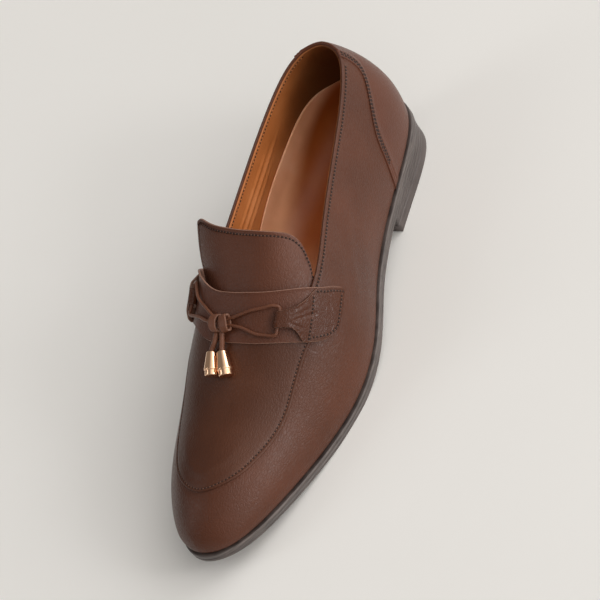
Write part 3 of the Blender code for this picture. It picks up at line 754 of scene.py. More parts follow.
tab = {
    # degrees from the ridge, station of the rear edge, station of the front edge, fold first
    "outline": np.array((
        (28.0, 174.9, 183.0),
        (32.0, 173.0, 181.8),
        (37.0, 169.4, 180.8),
        (40.0, 166.8, 182.2),
        (43.4, 162.8, 184.4),
        (48.0, 157.0, 182.6),
        (52.0, 154.8, 180.2),
        (56.0, 152.4, 177.4),
        (59.0, 150.4, 174.6),
        (61.2, 148.9, 171.6),
        (62.6, 148.4, 168.8),
        (63.4, 148.8, 166.4),
    )),
    "thick": 1.1,
    "foldRadius": 1.4,
    "foldTail": 5.0,
    "foldRamp": 13.0,
    "medialRamp": 6.0,
    "medialTurn": 9.0,
    "medialBack": 4.5,
}


def settled(angle):
    far = np.degrees(np.abs(angle)) - strap["settleFrom"]
    return strap["settle"] * smoothStep(far / strap["settleOver"])


def medialBack(angle):
    far = (np.degrees(-angle) - strap["medialFrom"]) / strap["medialOver"]
    return strap["medialBack"] * smoothStep(far)


def strapEdges(angle):
    table = strap["outline"]
    bend = np.radians(table[:, 0])
    far = np.abs(angle)
    back = medialBack(angle)
    return naturalSpline(bend, table[:, 1], far) - back, naturalSpline(bend, table[:, 2], far) - back


def stood(angle, station):
    rear, front = strapEdges(angle)
    t = np.clip((station - rear) / (front - rear), 0.0, 1.0)
    (begin, full), (hold, end) = strap["standRise"], strap["standFall"]
    far = np.degrees(-angle)
    rise = smoothStep((far - begin) / (full - begin)) * (1 - smoothStep((far - hold) / (end - hold)))
    return strap["stand"] * rise * (1 - t) ** 3


def slanted(angle, t):
    # degrees added towards the sewn end, t from the rear edge to the front edge
    start, end = strap["slantFrom"], strap["outline"][-1, 0]
    share = smoothStep((np.degrees(np.abs(angle)) - start) / (end - start))
    return np.radians(share * (strap["slant"][0] * (1 - t) + strap["slant"][1] * t))


def tabGrid(side, across, along, lowered=0.0):
    # end piece up to its fold, with the middle line of the fold and its two directions
    table = tab["outline"]
    share = np.linspace(0.0, 1.0, across + 1)
    row = np.radians(table[-1, 0] + (table[0, 0] - table[-1, 0]) * share)
    shift = share * share if side < 0 else np.zeros(across + 1)
    rear = naturalSpline(np.radians(table[:, 0]), table[:, 1], row) - tab["medialBack"] * shift
    front = naturalSpline(np.radians(table[:, 0]), table[:, 2], row) - tab["medialBack"] * shift
    angle = side * (row + math.radians(tab["medialTurn"]) * shift)
    rear, front = rear - medialBack(angle), front - medialBack(angle)
    t = np.linspace(0.0, 1.0, along + 1)
    station = rear[:, None] + (front - rear)[:, None] * t
    x = xAtAngle(station, angle[:, None] + side * slanted(angle[:, None], t))
    here, normal = surfaceAt(station, x)
    reach = np.linalg.norm(np.diff(here[:, along // 2], axis=0), axis=1)
    run = np.concatenate((reach[::-1].cumsum()[::-1], (0.0,)))
    ramp = tab["foldRamp"] if side > 0 else tab["medialRamp"]
    rise = smoothStep((tab["foldTail"] + ramp - run) / ramp)
    climb = (tab["thick"] + 2 * tab["foldRadius"]) * rise
    low = strap["top"] + last["gap"] + climb - lowered * settled(angle)
    inner = here + normal * (low[:, None] + stood(angle[:, None], station))[..., None]
    outer = inner + normal * tab["thick"]
    lift = unit(outer[-1] - inner[-1])
    forward = inner[-1] - inner[-2]
    forward = unit(forward - lift * (forward * lift).sum(-1, keepdims=True))
    return {"inner": inner, "outer": outer, "fold": inner[-1] - lift * tab["foldRadius"], "lift": lift,
            "forward": forward, "run": run}


# lace: one thong through both folds, tied in the middle, each end in a metal tip
lace = {
    "radius": 1.0,
    "lift": strap["top"] + last["gap"] + 1.0,    # its own radius over the strap
    "knotStation": 185.2,
    "knotX": -5.2,
    "knotHeight": 3.4,
    "knotReach": 5.4,
    "runOut": 1.2,
    "lean": (0.55, 0.75),        # share of the way across to the tip: under the knot, half way
    "endLift": (1.0, 0.7),
    "intoTip": (-0.8, 1.5),      # before and inside the mouth of the tip
    "widenOver": 6.0,
    "foldGrid": (16, 4),
    "fine": 900,
    # station, x, extra lift
    "lateralRear": ((183.6, -3.4, 1.0), (182.6, 0.2, 0.6), (180.2, 6.4, 0.2), (177.6, 12.6, 0.2),
                    (175.2, 18.6, 0.6), (173.4, 22.2, 1.4)),
    "lateralFront": ((185.6, 24.2, 1.6), (187.8, 20.3, 0.6), (188.4, 14.0, 0.2), (186.6, 6.4, 0.2),
                     (186.0, 0.2, 0.6), (186.2, -3.2, 1.0)),
    "medialRear": ((183.6, -7.4, 1.0), (181.8, -11.0, 0.9), (176.6, -18.4, 0.4), (170.6, -24.6, 0.9),
                   (163.0, -27.4, 1.8), (161.4, -28.4, 2.0)),
    "medialFront": ((176.2, -31.4, 1.8), (179.0, -27.4, 0.7), (181.6, -21.0, 0.3), (184.4, -12.6, 0.8),
                    (185.4, -7.6, 1.0)),
    # tip top station, x, tip foot station, x
    "tips": {"a": (199.0, -10.7, 211.4, -8.2), "b": (198.6, -3.9, 211.0, 0.9)},
    "strandWidth": 0.92,
    "endWidth": 1.5,
    "tipLift": (3.6, 4.3),
    "spacing": 0.8,
    "sides": 5,
}


def laceRows(rows):
    table = np.array(rows)
    return lifted(table[:, 0], table[:, 1], lace["lift"] + table[:, 2])


def tipEnds(row):
    return lifted(np.array((row[0], row[2])), np.array((row[1], row[3])), np.array(lace["tipLift"]))


def smoothRoute(points):
    knots = runAlong(points)
    fine = np.linspace(0.0, knots[-1], lace["fine"])
    path = np.stack([naturalSpline(knots, points[:, k], fine) for k in range(3)], -1)
    run = runAlong(path)
    return pointsAt(np.linspace(0.0, run[-1], int(round(run[-1] / lace["spacing"])) + 1), run, path)


def laceRoute(side, rear, front, tip):
    # knot, rear strand, through the fold, front strand, knot, end, tip
    fold = tabGrid(side, *lace["foldGrid"])["fold"]
    run = unit(fold[-1] - fold[0])
    through = np.concatenate(((fold[0] - run * lace["runOut"],), fold, (fold[-1] + run * lace["runOut"],)))
    row = lace["tips"][tip]
    top, foot = tipEnds(row)
    leaves = lace["knotStation"] + lace["knotReach"]
    xs = lace["knotX"] + np.array(lace["lean"]) * (row[1] - lace["knotX"])
    end = lifted(np.array((leaves, (leaves + row[0]) / 2)), xs, lace["lift"] + np.array(lace["endLift"]))
    into = top + np.outer(lace["intoTip"], unit(foot - top))
    route = smoothRoute(np.concatenate((laceRows(rear), through, laceRows(front), end, into)))
    ahead = last["length"] / 2 - lace["knotStation"] - route[:, 1]
    endSteps = (row[0] - lace["knotStation"]) / lace["spacing"]
    ended = smoothStep(np.arange(len(route)) - (len(route) - endSteps))
    wider = (lace["endWidth"] - lace["strandWidth"]) * ended * smoothStep(ahead / lace["widenOver"])
    return toScene(route), lace["strandWidth"] + wider


def addLace(name, side, rear, front, tip, replaced):
    route, width = laceRoute(side, rear, front, tip)
    curve = bpy.data.curves.new(name, "CURVE")
    curve.dimensions = "3D"
    curve.bevel_depth = lace["radius"] * mm
    curve.bevel_resolution = lace["sides"]
    curve.use_fill_caps = True
    path = curve.splines.new("POLY")
    path.points.add(len(route) - 1)
    for point, place, size in zip(path.points, route, width):
        point.co = (*place, 1.0)
        point.radius = size
    path.use_smooth = True
    curve.materials.append(laceCalf)
    piece = bpy.data.objects.new(name, curve)
    bpy.context.scene.collection.objects.link(piece)
    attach(piece, "root")
    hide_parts(*replaced)
    return piece, route


laces = {
    "lace_lateral": addLace("lace_lateral", 1.0, lace["lateralRear"], lace["lateralFront"], "b",
                            ("lace_loop_lateral", "lace_end_b")),
    "lace_medial": addLace("lace_medial", -1.0, lace["medialRear"], lace["medialFront"], "a",
                           ("lace_loop_medial", "lace_end_a")),
}

# knot: two flat wraps side by side, spread a little towards the ends
knot = {
    # offset across, turn in degrees, half width, bow in the middle
    "wraps": ((-2.6, 2.0, 2.5, -1.5), (3.0, 16.0, 2.6, 0.3)),
    "reach": 4.3,
    "height": 2.2,
    "halfThick": 0.85,
    "around": 52,
    "section": 20,
    "edgeFrom": 0.86,
    "loopPower": 0.8,     # squared off a little, the wrap's path and its section
    "bandPower": 0.6,
    "hollow": 0.18,       # the band is thinner along its middle
    "pinch": 0.16,        # it narrows towards its upper corners and widens under them
}


def knotAxes():
    place, normal = surfaceAt(lace["knotStation"] + np.array((0.0, wideStep, 0.0)),
                              lace["knotX"] + np.array((0.0, 0.0, wideStep)))
    centre = place[0] + normal[0] * (strap["top"] + last["gap"] + lace["knotHeight"])
    return centre, unit(place[2] - place[0]), unit(place[1] - place[0]), normal[0]


def addKnot():
    centre, across, ahead, up = knotAxes()
    spin = np.linspace(0.0, 2 * math.pi, knot["around"], endpoint=False)
    roll = np.linspace(0.0, 2 * math.pi, knot["section"], endpoint=False)
    points, faces, looks = [], [], []
    for offset, turned, halfWidth, bow in knot["wraps"]:
        lean = math.radians(turned)
        wide = across * math.cos(lean) - ahead * math.sin(lean)
        long = ahead * math.cos(lean) + across * math.sin(lean)
        path = (centre + across * offset
                + np.outer(squared(np.cos(spin), knot["loopPower"]), long) * knot["reach"]
                + np.outer(squared(np.sin(spin), knot["loopPower"]), up) * knot["height"]
                + np.outer(np.sin(spin) ** 2 * bow, across))
        tangent = unit(np.roll(path, -1, 0) - np.roll(path, 1, 0))
        out = unit(np.cross(tangent, wide))
        out *= np.sign(((path - path.mean(0)) * out).sum())
        across0 = squared(np.cos(roll), knot["bandPower"])
        thick0 = squared(np.sin(roll), knot["bandPower"]) * (1 - knot["hollow"] * (1 - across0 ** 2))
        pinch = 1 - knot["pinch"] * np.cos(spin) ** 2 * np.sign(np.sin(spin))
        loops = (path[:, None] + wide * (across0[None, :, None] * halfWidth * pinch[:, None, None])
                 + out[:, None] * (thick0[None, :, None] * knot["halfThick"]))
        start = sum(len(p) for p in points)
        points.append(loops.reshape(-1, 3))
        faces += [tuple(start + v for v in face) for face in loft(loops, wrap=True)]
        side = (np.abs(across0) + np.abs(np.roll(across0, -1))) / 2 > knot["edgeFrom"]
        looks += list(np.tile(side.astype(int), knot["around"]))
    return addPiece("lace_knot_wraps", np.concatenate(points), faces, [laceCalf, laceEdge],
                    ("lace_knot",), looks)


knotPiece = addKnot()

# metal tips: turned, wider towards the foot, with a stepped base ring
tip = {
    # share of the length, radius
    "profile": (
        (0.000, 1.60), (0.000, 2.50), (0.010, 2.80), (0.026, 2.96), (0.060, 3.05), (0.680, 4.34),
        (0.715, 4.43), (0.745, 4.43), (0.762, 4.33), (0.772, 4.06), (0.785, 3.94), (0.800, 3.92),
        (0.955, 3.92), (0.980, 3.85), (0.994, 3.66), (1.000, 3.34), (1.000, 0.40),
    ),
    "around": 56,
}


def addTip(label):
    top, foot = tipEnds(lace["tips"][label])
    axis = foot - top
    first = unit(np.cross(axis, (0.0, 0.0, 1.0)))
    second = unit(np.cross(axis, first))
    spin = np.linspace(0.0, 2 * math.pi, tip["around"], endpoint=False)
    ring = np.outer(np.cos(spin), first) + np.outer(np.sin(spin), second)
    loops = np.array([top + axis * share + ring * radius for share, radius in tip["profile"]])
    return addPiece("tip_" + label, loops.reshape(-1, 3), loft(loops), [tipMetal],
                    ("metal_tip_" + label,))


tipPieces = {label: addTip(label) for label in lace["tips"]}

for name, carried in (("lace_lateral", [knotPiece, tipPieces["b"]]), ("lace_medial", [tipPieces["a"]])):
    piece, route = laces[name]
    length = float(runAlong(route)[-1])
    print(name, "length", round(length * 1000, 1), "mm")

# outline of the apron seam on the last: station, half width about its own middle, more on the lateral side
apron = {
    "middle": -3.4,
    "outline": np.array((
        (172.0, 39.4, 2.6),
        (185.0, 38.0, 2.0),
        (204.0, 35.0, 1.4),
        (222.0, 32.8, 0.8),
        (236.0, 30.0, 0.3),
        (249.0, 25.8, 0.0),
        (260.0, 20.4, 0.0),
        (268.0, 13.2, 0.0),
        (272.3, 6.0, 0.0),
        (273.5, 0.0, 0.0),
    )),
    "spineEnd": 262.0,
    "underlap": 2.6,
    # distance in from the edge, lift: a turned edge that stands proud, a stitch furrow, then flat
    "edge": np.array((
        (0.00, -0.85), (0.00, -0.25), (0.10, 0.18), (0.30, 0.40), (0.60, 0.48), (0.85, 0.46), (1.05, 0.34),
        (1.25, 0.18), (1.50, 0.14), (1.80, 0.16), (2.10, 0.28), (2.60, 0.36), (3.40, 0.38), (4.60, 0.36),
    )),
    "flat": 0.34,
    "rows": 120,
    "columns": 24,
    "thick": 0.9,
    "stitchIn": 1.5,
    "stitchLift": 0.10,
    # soft ridge of the toe stiffener, felt through the apron
    "ridgeIn": 9.5,
    "ridgeWidth": 2.4,
    "ridgeHigh": 0.30,
    "ridgeFrom": 0.62,    # share of the side where it starts, and over which it rises
    "ridgeOver": 0.25,
}


def apronSide(side, share):
    # edge of the apron from the corner of the topline (0) to the tip (1)
    cornerAngle = wallAngle(np.array(cornerStation), 1.0, side)
    cornerX = float(xAtAngle(np.array(cornerStation), cornerAngle))
    rows = apron["outline"]
    more = 1.0 if side > 0 else 0.0
    points = [(cornerStation, cornerX)]
    points += [(s, apron["middle"] + side * (w + more * extra)) for s, w, extra in rows]
    points += [(s, apron["middle"] - side * w) for s, w, _ in rows[-2:-5:-1]]
    points = np.array(points)
    knots = runAlong(points)
    end = knots[len(rows)]
    return np.stack([naturalSpline(knots, points[:, k], share * end) for k in range(2)], -1)


def apronInset(side, share, inset):
    edge = apronSide(side, share)
    spine = np.stack((last["throat"] + (apron["spineEnd"] - last["throat"]) * share,
                      np.full(np.shape(share), apron["middle"])), -1)
    reach = np.linalg.norm(spine - edge, axis=-1, keepdims=True)
    return edge + (spine - edge) / reach * inset, reach[..., 0]


# wall of the upper: quarters and vamp in one piece, from the sole up to the topline and under the apron
wall = {
    "thick": 1.6,
    "fine": 140,
    "rearColumns": 70,
    "frontColumns": 104,
    # distance down from the top edge
    "near": np.array((0.0, 0.3, 0.6, 0.9, 1.2, 1.5, 1.8, 2.1, 2.4, 2.7, 3.1, 3.6, 4.3, 5.2, 6.4, 8.0)),
    "rows": 34,
    "stitchDown": 2.1,
    "furrow": 0.20,
    "furrowWidth": 0.55,
    "sink": 0.55,         # pressed down under the apron's edge
    "sinkDown": 1.56,
    "sinkWidth": 5.0,
    "tuck": 0.9,          # drawn in where it meets the sole
    "tuckHigh": 1.3,
    "frontFade": 12.0,    # columns from the topline's furrow to the apron's seam
    "lapOver": 0.1,       # share of the apron's side over which the lap under it grows
    "rollPoints": 8,
    "insideStep": 3,      # the inner face has every third row
}
# seam of the heel counter: share of the wall's height, station
counter = {
    "seam": np.array((
        (0.00, 62.3),
        (0.20, 59.3),
        (0.37, 55.6),
        (0.59, 46.5),
        (0.72, 32.0),
        (0.79, 22.0),
        (0.87, 16.4),
        (1.00, 13.5),
    )),
    "underlap": 4.5,
    "edge": np.array((
        (0.00, -0.45), (0.00, 0.20), (0.12, 0.52), (0.35, 0.68), (0.70, 0.70), (1.00, 0.60), (1.20, 0.44),
        (1.50, 0.40), (1.80, 0.40), (2.10, 0.52), (2.55, 0.62), (3.00, 0.52), (3.25, 0.40), (3.55, 0.38),
        (3.85, 0.40), (4.10, 0.50), (4.70, 0.66), (5.40, 0.62), (6.60, 0.42), (8.50, 0.28),
    )),
    "flat": 0.22,
    "stitchIn": (1.60, 3.55),
    "columns": 40,
    "thick": 2.1,
    # shares of the wall's height, closer towards the top
    "shares": np.concatenate((
        np.linspace(0.0, 0.9, 46),
        1 - np.array((5.5, 4.6, 3.8, 3.1, 2.6, 2.1, 1.6, 1.2, 0.8, 0.4, 0.0)) / 66,
    )),
    "fine": 120,
    "unsewn": (12, 3),    # rows without stitches at the sole and at the topline
}


def seamStation(share):
    return naturalSpline(*counter["seam"].T, share)


def wallLines(side):
    # lines from the top edge down to the sole, heel to toe
    fine = np.linspace(1.0, 0.0, wall["fine"])
    rear = seamStation(fine) - counter["underlap"]
    lines = []
    for v in np.linspace(0.0, 1.0, wall["rearColumns"], endpoint=False):
        station = rear + (cornerStation - rear) * v
        lines.append(lastByAngle(station, wallAngle(station, fine, side)))
    for u in np.linspace(0.0, 1.0, wall["frontColumns"]):
        top, _ = apronInset(side, np.array(u), apron["underlap"] * smoothStep(u / wall["lapOver"]))
        lines.append(frontLine(side, u, top, fine))
    return lines


def rolledLoops(outer, normal, thick):
    # closed cross-sections: outer face from the sole up, over the rolled top edge, inner face down again
    up = outer[:, -1] - outer[:, -2]
    facing = normal[:, -1]
    up = unit(up - facing * (up * facing).sum(-1, keepdims=True))
    radius = thick / 2
    roll = [outer[:, -1] - facing * radius + (facing * math.cos(a) + up * math.sin(a)) * radius
            for a in np.linspace(0.0, math.pi, wall["rollPoints"])[1:-1]]
    inside = (outer - normal * thick)[:, ::-1]
    keep = sorted(set(range(0, inside.shape[1], wall["insideStep"])) | {inside.shape[1] - 1})
    return np.concatenate((outer, np.stack(roll, 1), inside[:, keep]), axis=1)


# soft troughs and ridges: station, height share up the wall, depth (ridges negative), width
creases = {
    "lateral": (
        (((84.0, 0.80), (104.0, 0.62), (122.0, 0.50)), 0.30, 5.0),
        (((112.0, 0.84), (130.0, 0.66), (146.0, 0.56)), 0.34, 4.6),
        (((128.0, 0.42), (146.0, 0.34), (166.0, 0.30)), 0.28, 5.5),
        (((98.0, 0.72), (118.0, 0.56)), -0.22, 5.0),
    ),
    "medial": (
        (((90.0, 0.78), (112.0, 0.60), (128.0, 0.50)), 0.30, 5.0),
        (((118.0, 0.80), (138.0, 0.62)), 0.30, 4.6),
        (((130.0, 0.40), (150.0, 0.33)), 0.26, 5.5),
    ),
}


def creaseLift(points, side):
    total = np.zeros(points.shape[:-1])
    for rows, depth, width in creases["lateral" if side > 0 else "medial"]:
        table = np.array(rows)
        line = lastByAngle(table[:, 0], wallAngle(table[:, 0], table[:, 1], np.full(len(table), side)))
        total -= depth * bump(polylineDistance(points, line), width)
    return total


def buildWall():
    lateral = np.array(wallLines(1.0))
    medial = np.array(wallLines(-1.0))
    lines = np.concatenate((lateral, medial[-2::-1]))
    base = resample(lines, wall["near"], wall["rows"])[:, ::-1]
    normal = gridNormals(base)
    half = len(lateral)
    index = np.abs(np.arange(len(lines)) - (half - 1))
    front = smoothStep((wall["frontColumns"] - index) / wall["frontFade"])[:, None]
    down = runAlong(base[:, ::-1])[:, ::-1]
    high = down[:, :1] - down
    lift = -wall["sink"] * front * bump(down - wall["sinkDown"], wall["sinkWidth"])
    lift -= (1 - front) * wall["furrow"] * bump(down - wall["stitchDown"], wall["furrowWidth"])
    lift -= wall["tuck"] * bump(high, wall["tuckHigh"])
    side = np.where(np.arange(len(lines)) < half, 1, -1)
    for value in (1.0, -1.0):
        lift[side == value] += creaseLift(base[side == value], value)
    outer = base + normal * lift[..., None]
    loops = rolledLoops(outer, normal, wall["thick"])
    addPiece("upper_wall", loops.reshape(-1, 3), loft(loops), [wallCalf], ("upper",))
    row = base.shape[1] - 1 - int(np.argmin(np.abs(wall["near"] - wall["stitchDown"])))
    return {"outer": outer, "normal": normal, "stitchRow": row}


wallMade = buildWall()
print("upper wall ready")


def buildApron():
    share = np.linspace(0.0, 1.0, apron["rows"])
    sides = {}
    for side in (1.0, -1.0):
        _, reach = apronInset(side, share, 0.0)
        near = apron["edge"][-1, 0]
        columns = [np.full(share.shape, inset) for inset in apron["edge"][:, 0]]
        columns += [near + (reach - near) * step for step in np.linspace(0.0, 1.0, apron["columns"] + 1)[1:]]
        grid = np.stack([apronInset(side, share, column[:, None])[0] for column in columns], 1)
        lifts = np.concatenate((apron["edge"][:, 1], np.full(apron["columns"], apron["flat"])))
        toe = smoothStep((share - apron["ridgeFrom"]) / apron["ridgeOver"])[:, None]
        ridge = apron["ridgeHigh"] * toe * bump(np.stack(columns, 1) - apron["ridgeIn"], apron["ridgeWidth"])
        sides[side] = (grid, lifts + ridge)
    grid, lift = (np.concatenate((sides[1.0][k], sides[-1.0][k][:, -2::-1]), 1) for k in range(2))
    here, normal = surfaceAt(grid[..., 0], grid[..., 1])
    outer = here + normal * lift[..., None]
    inner = here + normal * (np.minimum(lift, 0.0) - apron["thick"])[..., None]
    loops = np.concatenate((outer, inner[:, ::-1]), 1)
    faces = loft(loops, capped=False) + [tuple(range(loops.shape[1] - 1, -1, -1))]
    addPiece("apron", loops.reshape(-1, 3), faces, [apronCalf], ("upper",))
    stitch = [apronInset(side, share, apron["stitchIn"])[0] for side in (1.0, -1.0)]
    path = np.concatenate((stitch[0], stitch[1][-2::-1]))
    here, normal = surfaceAt(path[:, 0], path[:, 1])
    return {"stitch": here + normal * apron["stitchLift"], "normal": normal}


apronMade = buildApron()
print("apron ready")


def buildCounter():
    shares = counter["shares"]
    fine = np.linspace(1.0, 0.0, counter["fine"])
    halves = []
    for side in (1.0, -1.0):
        edge = turnAngle(shareOf(seamStation(shares)))
        station = stationAt(edge[:, None] * fine)
        angle = wallAngle(station, shares[:, None], np.full(station.shape, side))
        halves.append(resample(lastByAngle(station, angle), counter["edge"][:, 0], counter["columns"]))
    base = np.concatenate((halves[0], halves[1][:, -2::-1]), 1).transpose(1, 0, 2)
    normal = gridNormals(base)
    lifts = np.concatenate((counter["edge"][:, 1], np.full(counter["columns"], counter["flat"])))
    lift = np.concatenate((lifts, lifts[-2::-1]))[:, None] + np.zeros(base.shape[:2])
    lift -= wall["tuck"] * bump(runAlong(base), wall["tuckHigh"])
    outer = base + normal * lift[..., None]
    loops = rolledLoops(outer, normal, counter["thick"])
    addPiece("heel_counter", loops.reshape(-1, 3), loft(loops), [counterCalf], ("upper",))
    columns = [int(np.argmin(np.abs(counter["edge"][:, 0] - at))) for at in counter["stitchIn"]]
    return {"outer": outer, "normal": normal, "stitchColumns": columns}


counterMade = buildCounter()
print("heel counter ready")

# lining inside the wall, with the long folds that show on the medial side
lining = {
    "outer": -1.62,
    "inner": -2.50,
    "rearColumns": 60,
    "frontColumns": 60,
    "near": np.array((0.0, 0.4, 0.8, 1.2, 1.6, 2.0, 2.4, 3.0, 4.0)),
    "rows": 84,
    "stitchDown": 2.0,
    # share of the wall's height at the rear end and at the front end, station from, to, height, width
    "folds": (
        (0.80, 0.76, 58.0, 132.0, 0.7, 1.2),
        (0.73, 0.66, 48.0, 138.0, 1.1, 1.4),
        (0.64, 0.58, 62.0, 136.0, 0.8, 1.3),
    ),
    "foldPoints": 24,
    "foldFade": (25.0, 15.0),    # mm over which a fold fades out, rear and front
    "fine": 120,
}


def liningLines(side):
    fine = np.linspace(1.0, 0.0, lining["fine"])
    corner = float(turnAngle(last["collarEnd"]))
    lines = []
    for turned in np.linspace(0.0, corner, lining["rearColumns"], endpoint=False):
        station = np.full(fine.shape, stationAt(turned))
        lines.append(lastByAngle(station, wallAngle(station, fine, side)))
    rim = float(wallAngle(np.array(cornerStation), 1.0, side))
    for u in np.linspace(0.0, 1.0, lining["frontColumns"]):
        topStation = cornerStation + (last["throat"] - cornerStation) * math.sin(u * math.pi / 2)
        topX = float(xAtAngle(np.array(topStation), np.array(rim * math.cos(u * math.pi / 2))))
        lines.append(frontLine(side, u, (topStation, topX), fine))
    return lines


def buildLining():
    lines = np.array(liningLines(1.0) + liningLines(-1.0)[-2:0:-1])
    base = resample(lines, lining["near"], lining["rows"])[:, ::-1]
    ring = np.concatenate((base[-1:], base, base[:1]))
    normal = gridNormals(ring)[1:-1]
    outer = base + normal * lining["outer"]
    inner = base + normal * lining["inner"]
    push = np.zeros(base.shape[:2])
    along = last["length"] / 2 - base[..., 1]
    count = lining["foldPoints"]
    rearFade, frontFade = lining["foldFade"]
    for rear, ahead, start, stop, high, width in lining["folds"]:
        station = np.linspace(start, stop, count)
        share = rear + (ahead - rear) * np.linspace(0.0, 1.0, count)
        line = lastByAngle(station, wallAngle(station, share, np.full(count, -1.0)))
        fade = smoothStep((along - start) / rearFade) * smoothStep((stop - along) / frontFade)
        push += high * fade * bump(polylineDistance(base, line), width)
    inner = inner - normal * push[..., None]
    loops = np.concatenate((outer, inner[:, ::-1]), 1)
    addPiece("lining", loops.reshape(-1, 3), loft(loops, wrap=True), [liningHide],
             ("upper",))
    row = base.shape[1] - 1 - int(np.argmin(np.abs(lining["near"] - lining["stitchDown"])))
    return {"inner": inner, "normal": -normal, "stitchRow": row}


liningMade = buildLining()
print("lining ready")

# sole, heel and footbed are lofts of cross-sections between the two sides of the outline
soleShape = {
    # inset from the outline, share of the thickness from the bottom: lip, band, groove, lower band
    "profile": np.array((
        (1.60, 1.00), (0.55, 1.00), (0.22, 0.97), (0.05, 0.90), (0.00, 0.80), (0.02, 0.56), (0.10, 0.50),
        (0.42, 0.465), (0.42, 0.43), (0.12, 0.39), (0.06, 0.33), (0.10, 0.12), (0.25, 0.04), (0.60, 0.00),
    )),
    "paintedHighlight": (3, 11),             # steps of the profile painted paler as a highlight: the upper and the lower bevel
    "rows": 200,
    "columns": 13,
}
heelShape = {
    "breast": 76.5,
    "inset": 0.8,
    "taper": 1.4,
    "topPiece": 5.5,
    "joint": 0.05,        # the lifts lie this close to what is above them
    # inset, share of the height from the bottom: four lifts with fine lines between
    "profile": np.array((
        (0.55, 1.00), (0.12, 0.985), (0.00, 0.95), (0.05, 0.78), (0.20, 0.770), (0.20, 0.757), (0.05, 0.747),
        (0.05, 0.53), (0.20, 0.520), (0.20, 0.507), (0.05, 0.497), (0.05, 0.27), (0.20, 0.260), (0.20, 0.247),
        (0.05, 0.237), (0.02, 0.05), (0.25, 0.00),
    )),
    "rows": 60,
    "columns": 11,
}
topPieceShape = {
    "profile": np.array(((0.50, 1.00), (0.12, 0.96), (0.00, 0.86), (0.00, 0.16), (0.12, 0.05), (0.45, 0.00))),
}
footbed = {
    "inset": 4.1,
    "thick": 2.6,
    "dish": 1.5,
    "profile": np.array(((0.55, 1.00), (0.18, 0.92), (0.0, 0.70), (0.0, 0.15), (0.3, 0.0))),
    "rows": 150,
    "columns": 21,
}


def insetOutline(angle, inset):
    h = 1e-3    # radians, short step that finds the outline's direction
    x = soleOutline(np.array(angle))
    dx = soleOutline(np.array(angle + h)) - soleOutline(np.array(angle - h))
    dy = last["length"] / 2 * math.sin(angle) * 2 * h
    size = math.hypot(float(dx), dy)
    station = last["length"] * (1 - math.cos(angle)) / 2
    return np.array((float(x) - inset * dy / size, station + inset * float(dx) / size))


def slabLoops(profile, rows, columns, end, insetAt, top, bottom, crown=0.0):
    # each loop: across the top, down the lateral edge, back across the bottom, up the medial edge
    loops = []
    stop = float(turnAngle(np.array(end / last["length"])))
    spread = np.linspace(-1.0, 1.0, columns)
    for angle in np.linspace(0.0, stop, rows):
        edges = {}
        for side, turned in ((1, angle), (-1, 2 * math.pi - angle)):
            line = []
            for inset, share in profile:
                x, station = insetOutline(turned, inset + insetAt(share))
                low, high = float(bottom(np.array(station))), float(top(np.array(station)))
                line.append((x, last["length"] / 2 - station, low + (high - low) * share))
            edges[side] = np.array(line)
        loop = []
        for t in spread[1:-1]:
            place = (edges[1][0] * (1 + t) + edges[-1][0] * (1 - t)) / 2
            station = last["length"] / 2 - place[1]
            loop.append((place[0], place[1], float(top(np.array(station))) - crown * (1 - t ** 4)))
        loop += list(edges[1])
        for t in spread[1:-1][::-1]:
            place = (edges[1][-1] * (1 + t) + edges[-1][-1] * (1 - t)) / 2
            station = last["length"] / 2 - place[1]
            loop.append((place[0], place[1], float(bottom(np.array(station)))))
        loop += list(edges[-1][::-1])
        loops.append(loop)
    return np.array(loops)


def addSlab(name, loops, open, materials, replaced, pale=()):
    around = loops.shape[1]
    faces = loft(loops, capped=False)
    looks = [int(j in pale) for j in range(around)] * (len(loops) - 1)
    if open:
        faces.append(tuple(range((len(loops) - 1) * around, len(loops) * around)))
        looks.append(0)
    return addPiece(name, loops.reshape(-1, 3), faces, materials, (replaced,), looks)


def buildSole():
    whole = last["length"]
    loops = slabLoops(soleShape["profile"], soleShape["rows"], soleShape["columns"], whole, lambda share: 0.0,
                      soleTop, soleBottom)
    flat, steps = soleShape["columns"] - 2, len(soleShape["profile"])
    around = 2 * flat + 2 * steps
    # painted highlight: the two bevels of the edge take the paler copy
    pale = [at for k in soleShape["paintedHighlight"] for at in (flat + k, around - 2 - k)]
    addSlab("sole", loops, False, [soleStain, bevelHighlight], "outsole", pale)
    inset, taper, joint = (heelShape[key] for key in ("inset", "taper", "joint"))
    low = heelShape["topPiece"] + last["gap"]
    loops = slabLoops(heelShape["profile"], heelShape["rows"], heelShape["columns"], heelShape["breast"],
                      lambda share: inset + taper * (1 - share), lambda s: soleBottom(s) - joint,
                      lambda s: np.full(s.shape, low))
    addSlab("heel_lifts", loops, True, [heelStain], "heel_stack")
    loops = slabLoops(topPieceShape["profile"], heelShape["rows"], heelShape["columns"], heelShape["breast"],
                      lambda share: inset + taper, lambda s: np.full(s.shape, low - joint),
                      lambda s: np.zeros(s.shape))
    addSlab("heel_rubber_lift", loops, True, [heelRubber], "heel_top_piece")
    base = last["gap"] + footbed["thick"]
    loops = slabLoops(footbed["profile"], footbed["rows"], footbed["columns"], whole,
                      lambda share: footbed["inset"], lambda s: soleTop(s) + base + footbed["dish"] / 2,
                      lambda s: soleTop(s) + last["gap"], footbed["dish"])
    addSlab("footbed", loops, False, [insoleHide], "insole")


buildSole()
print("sole, heel and footbed ready")

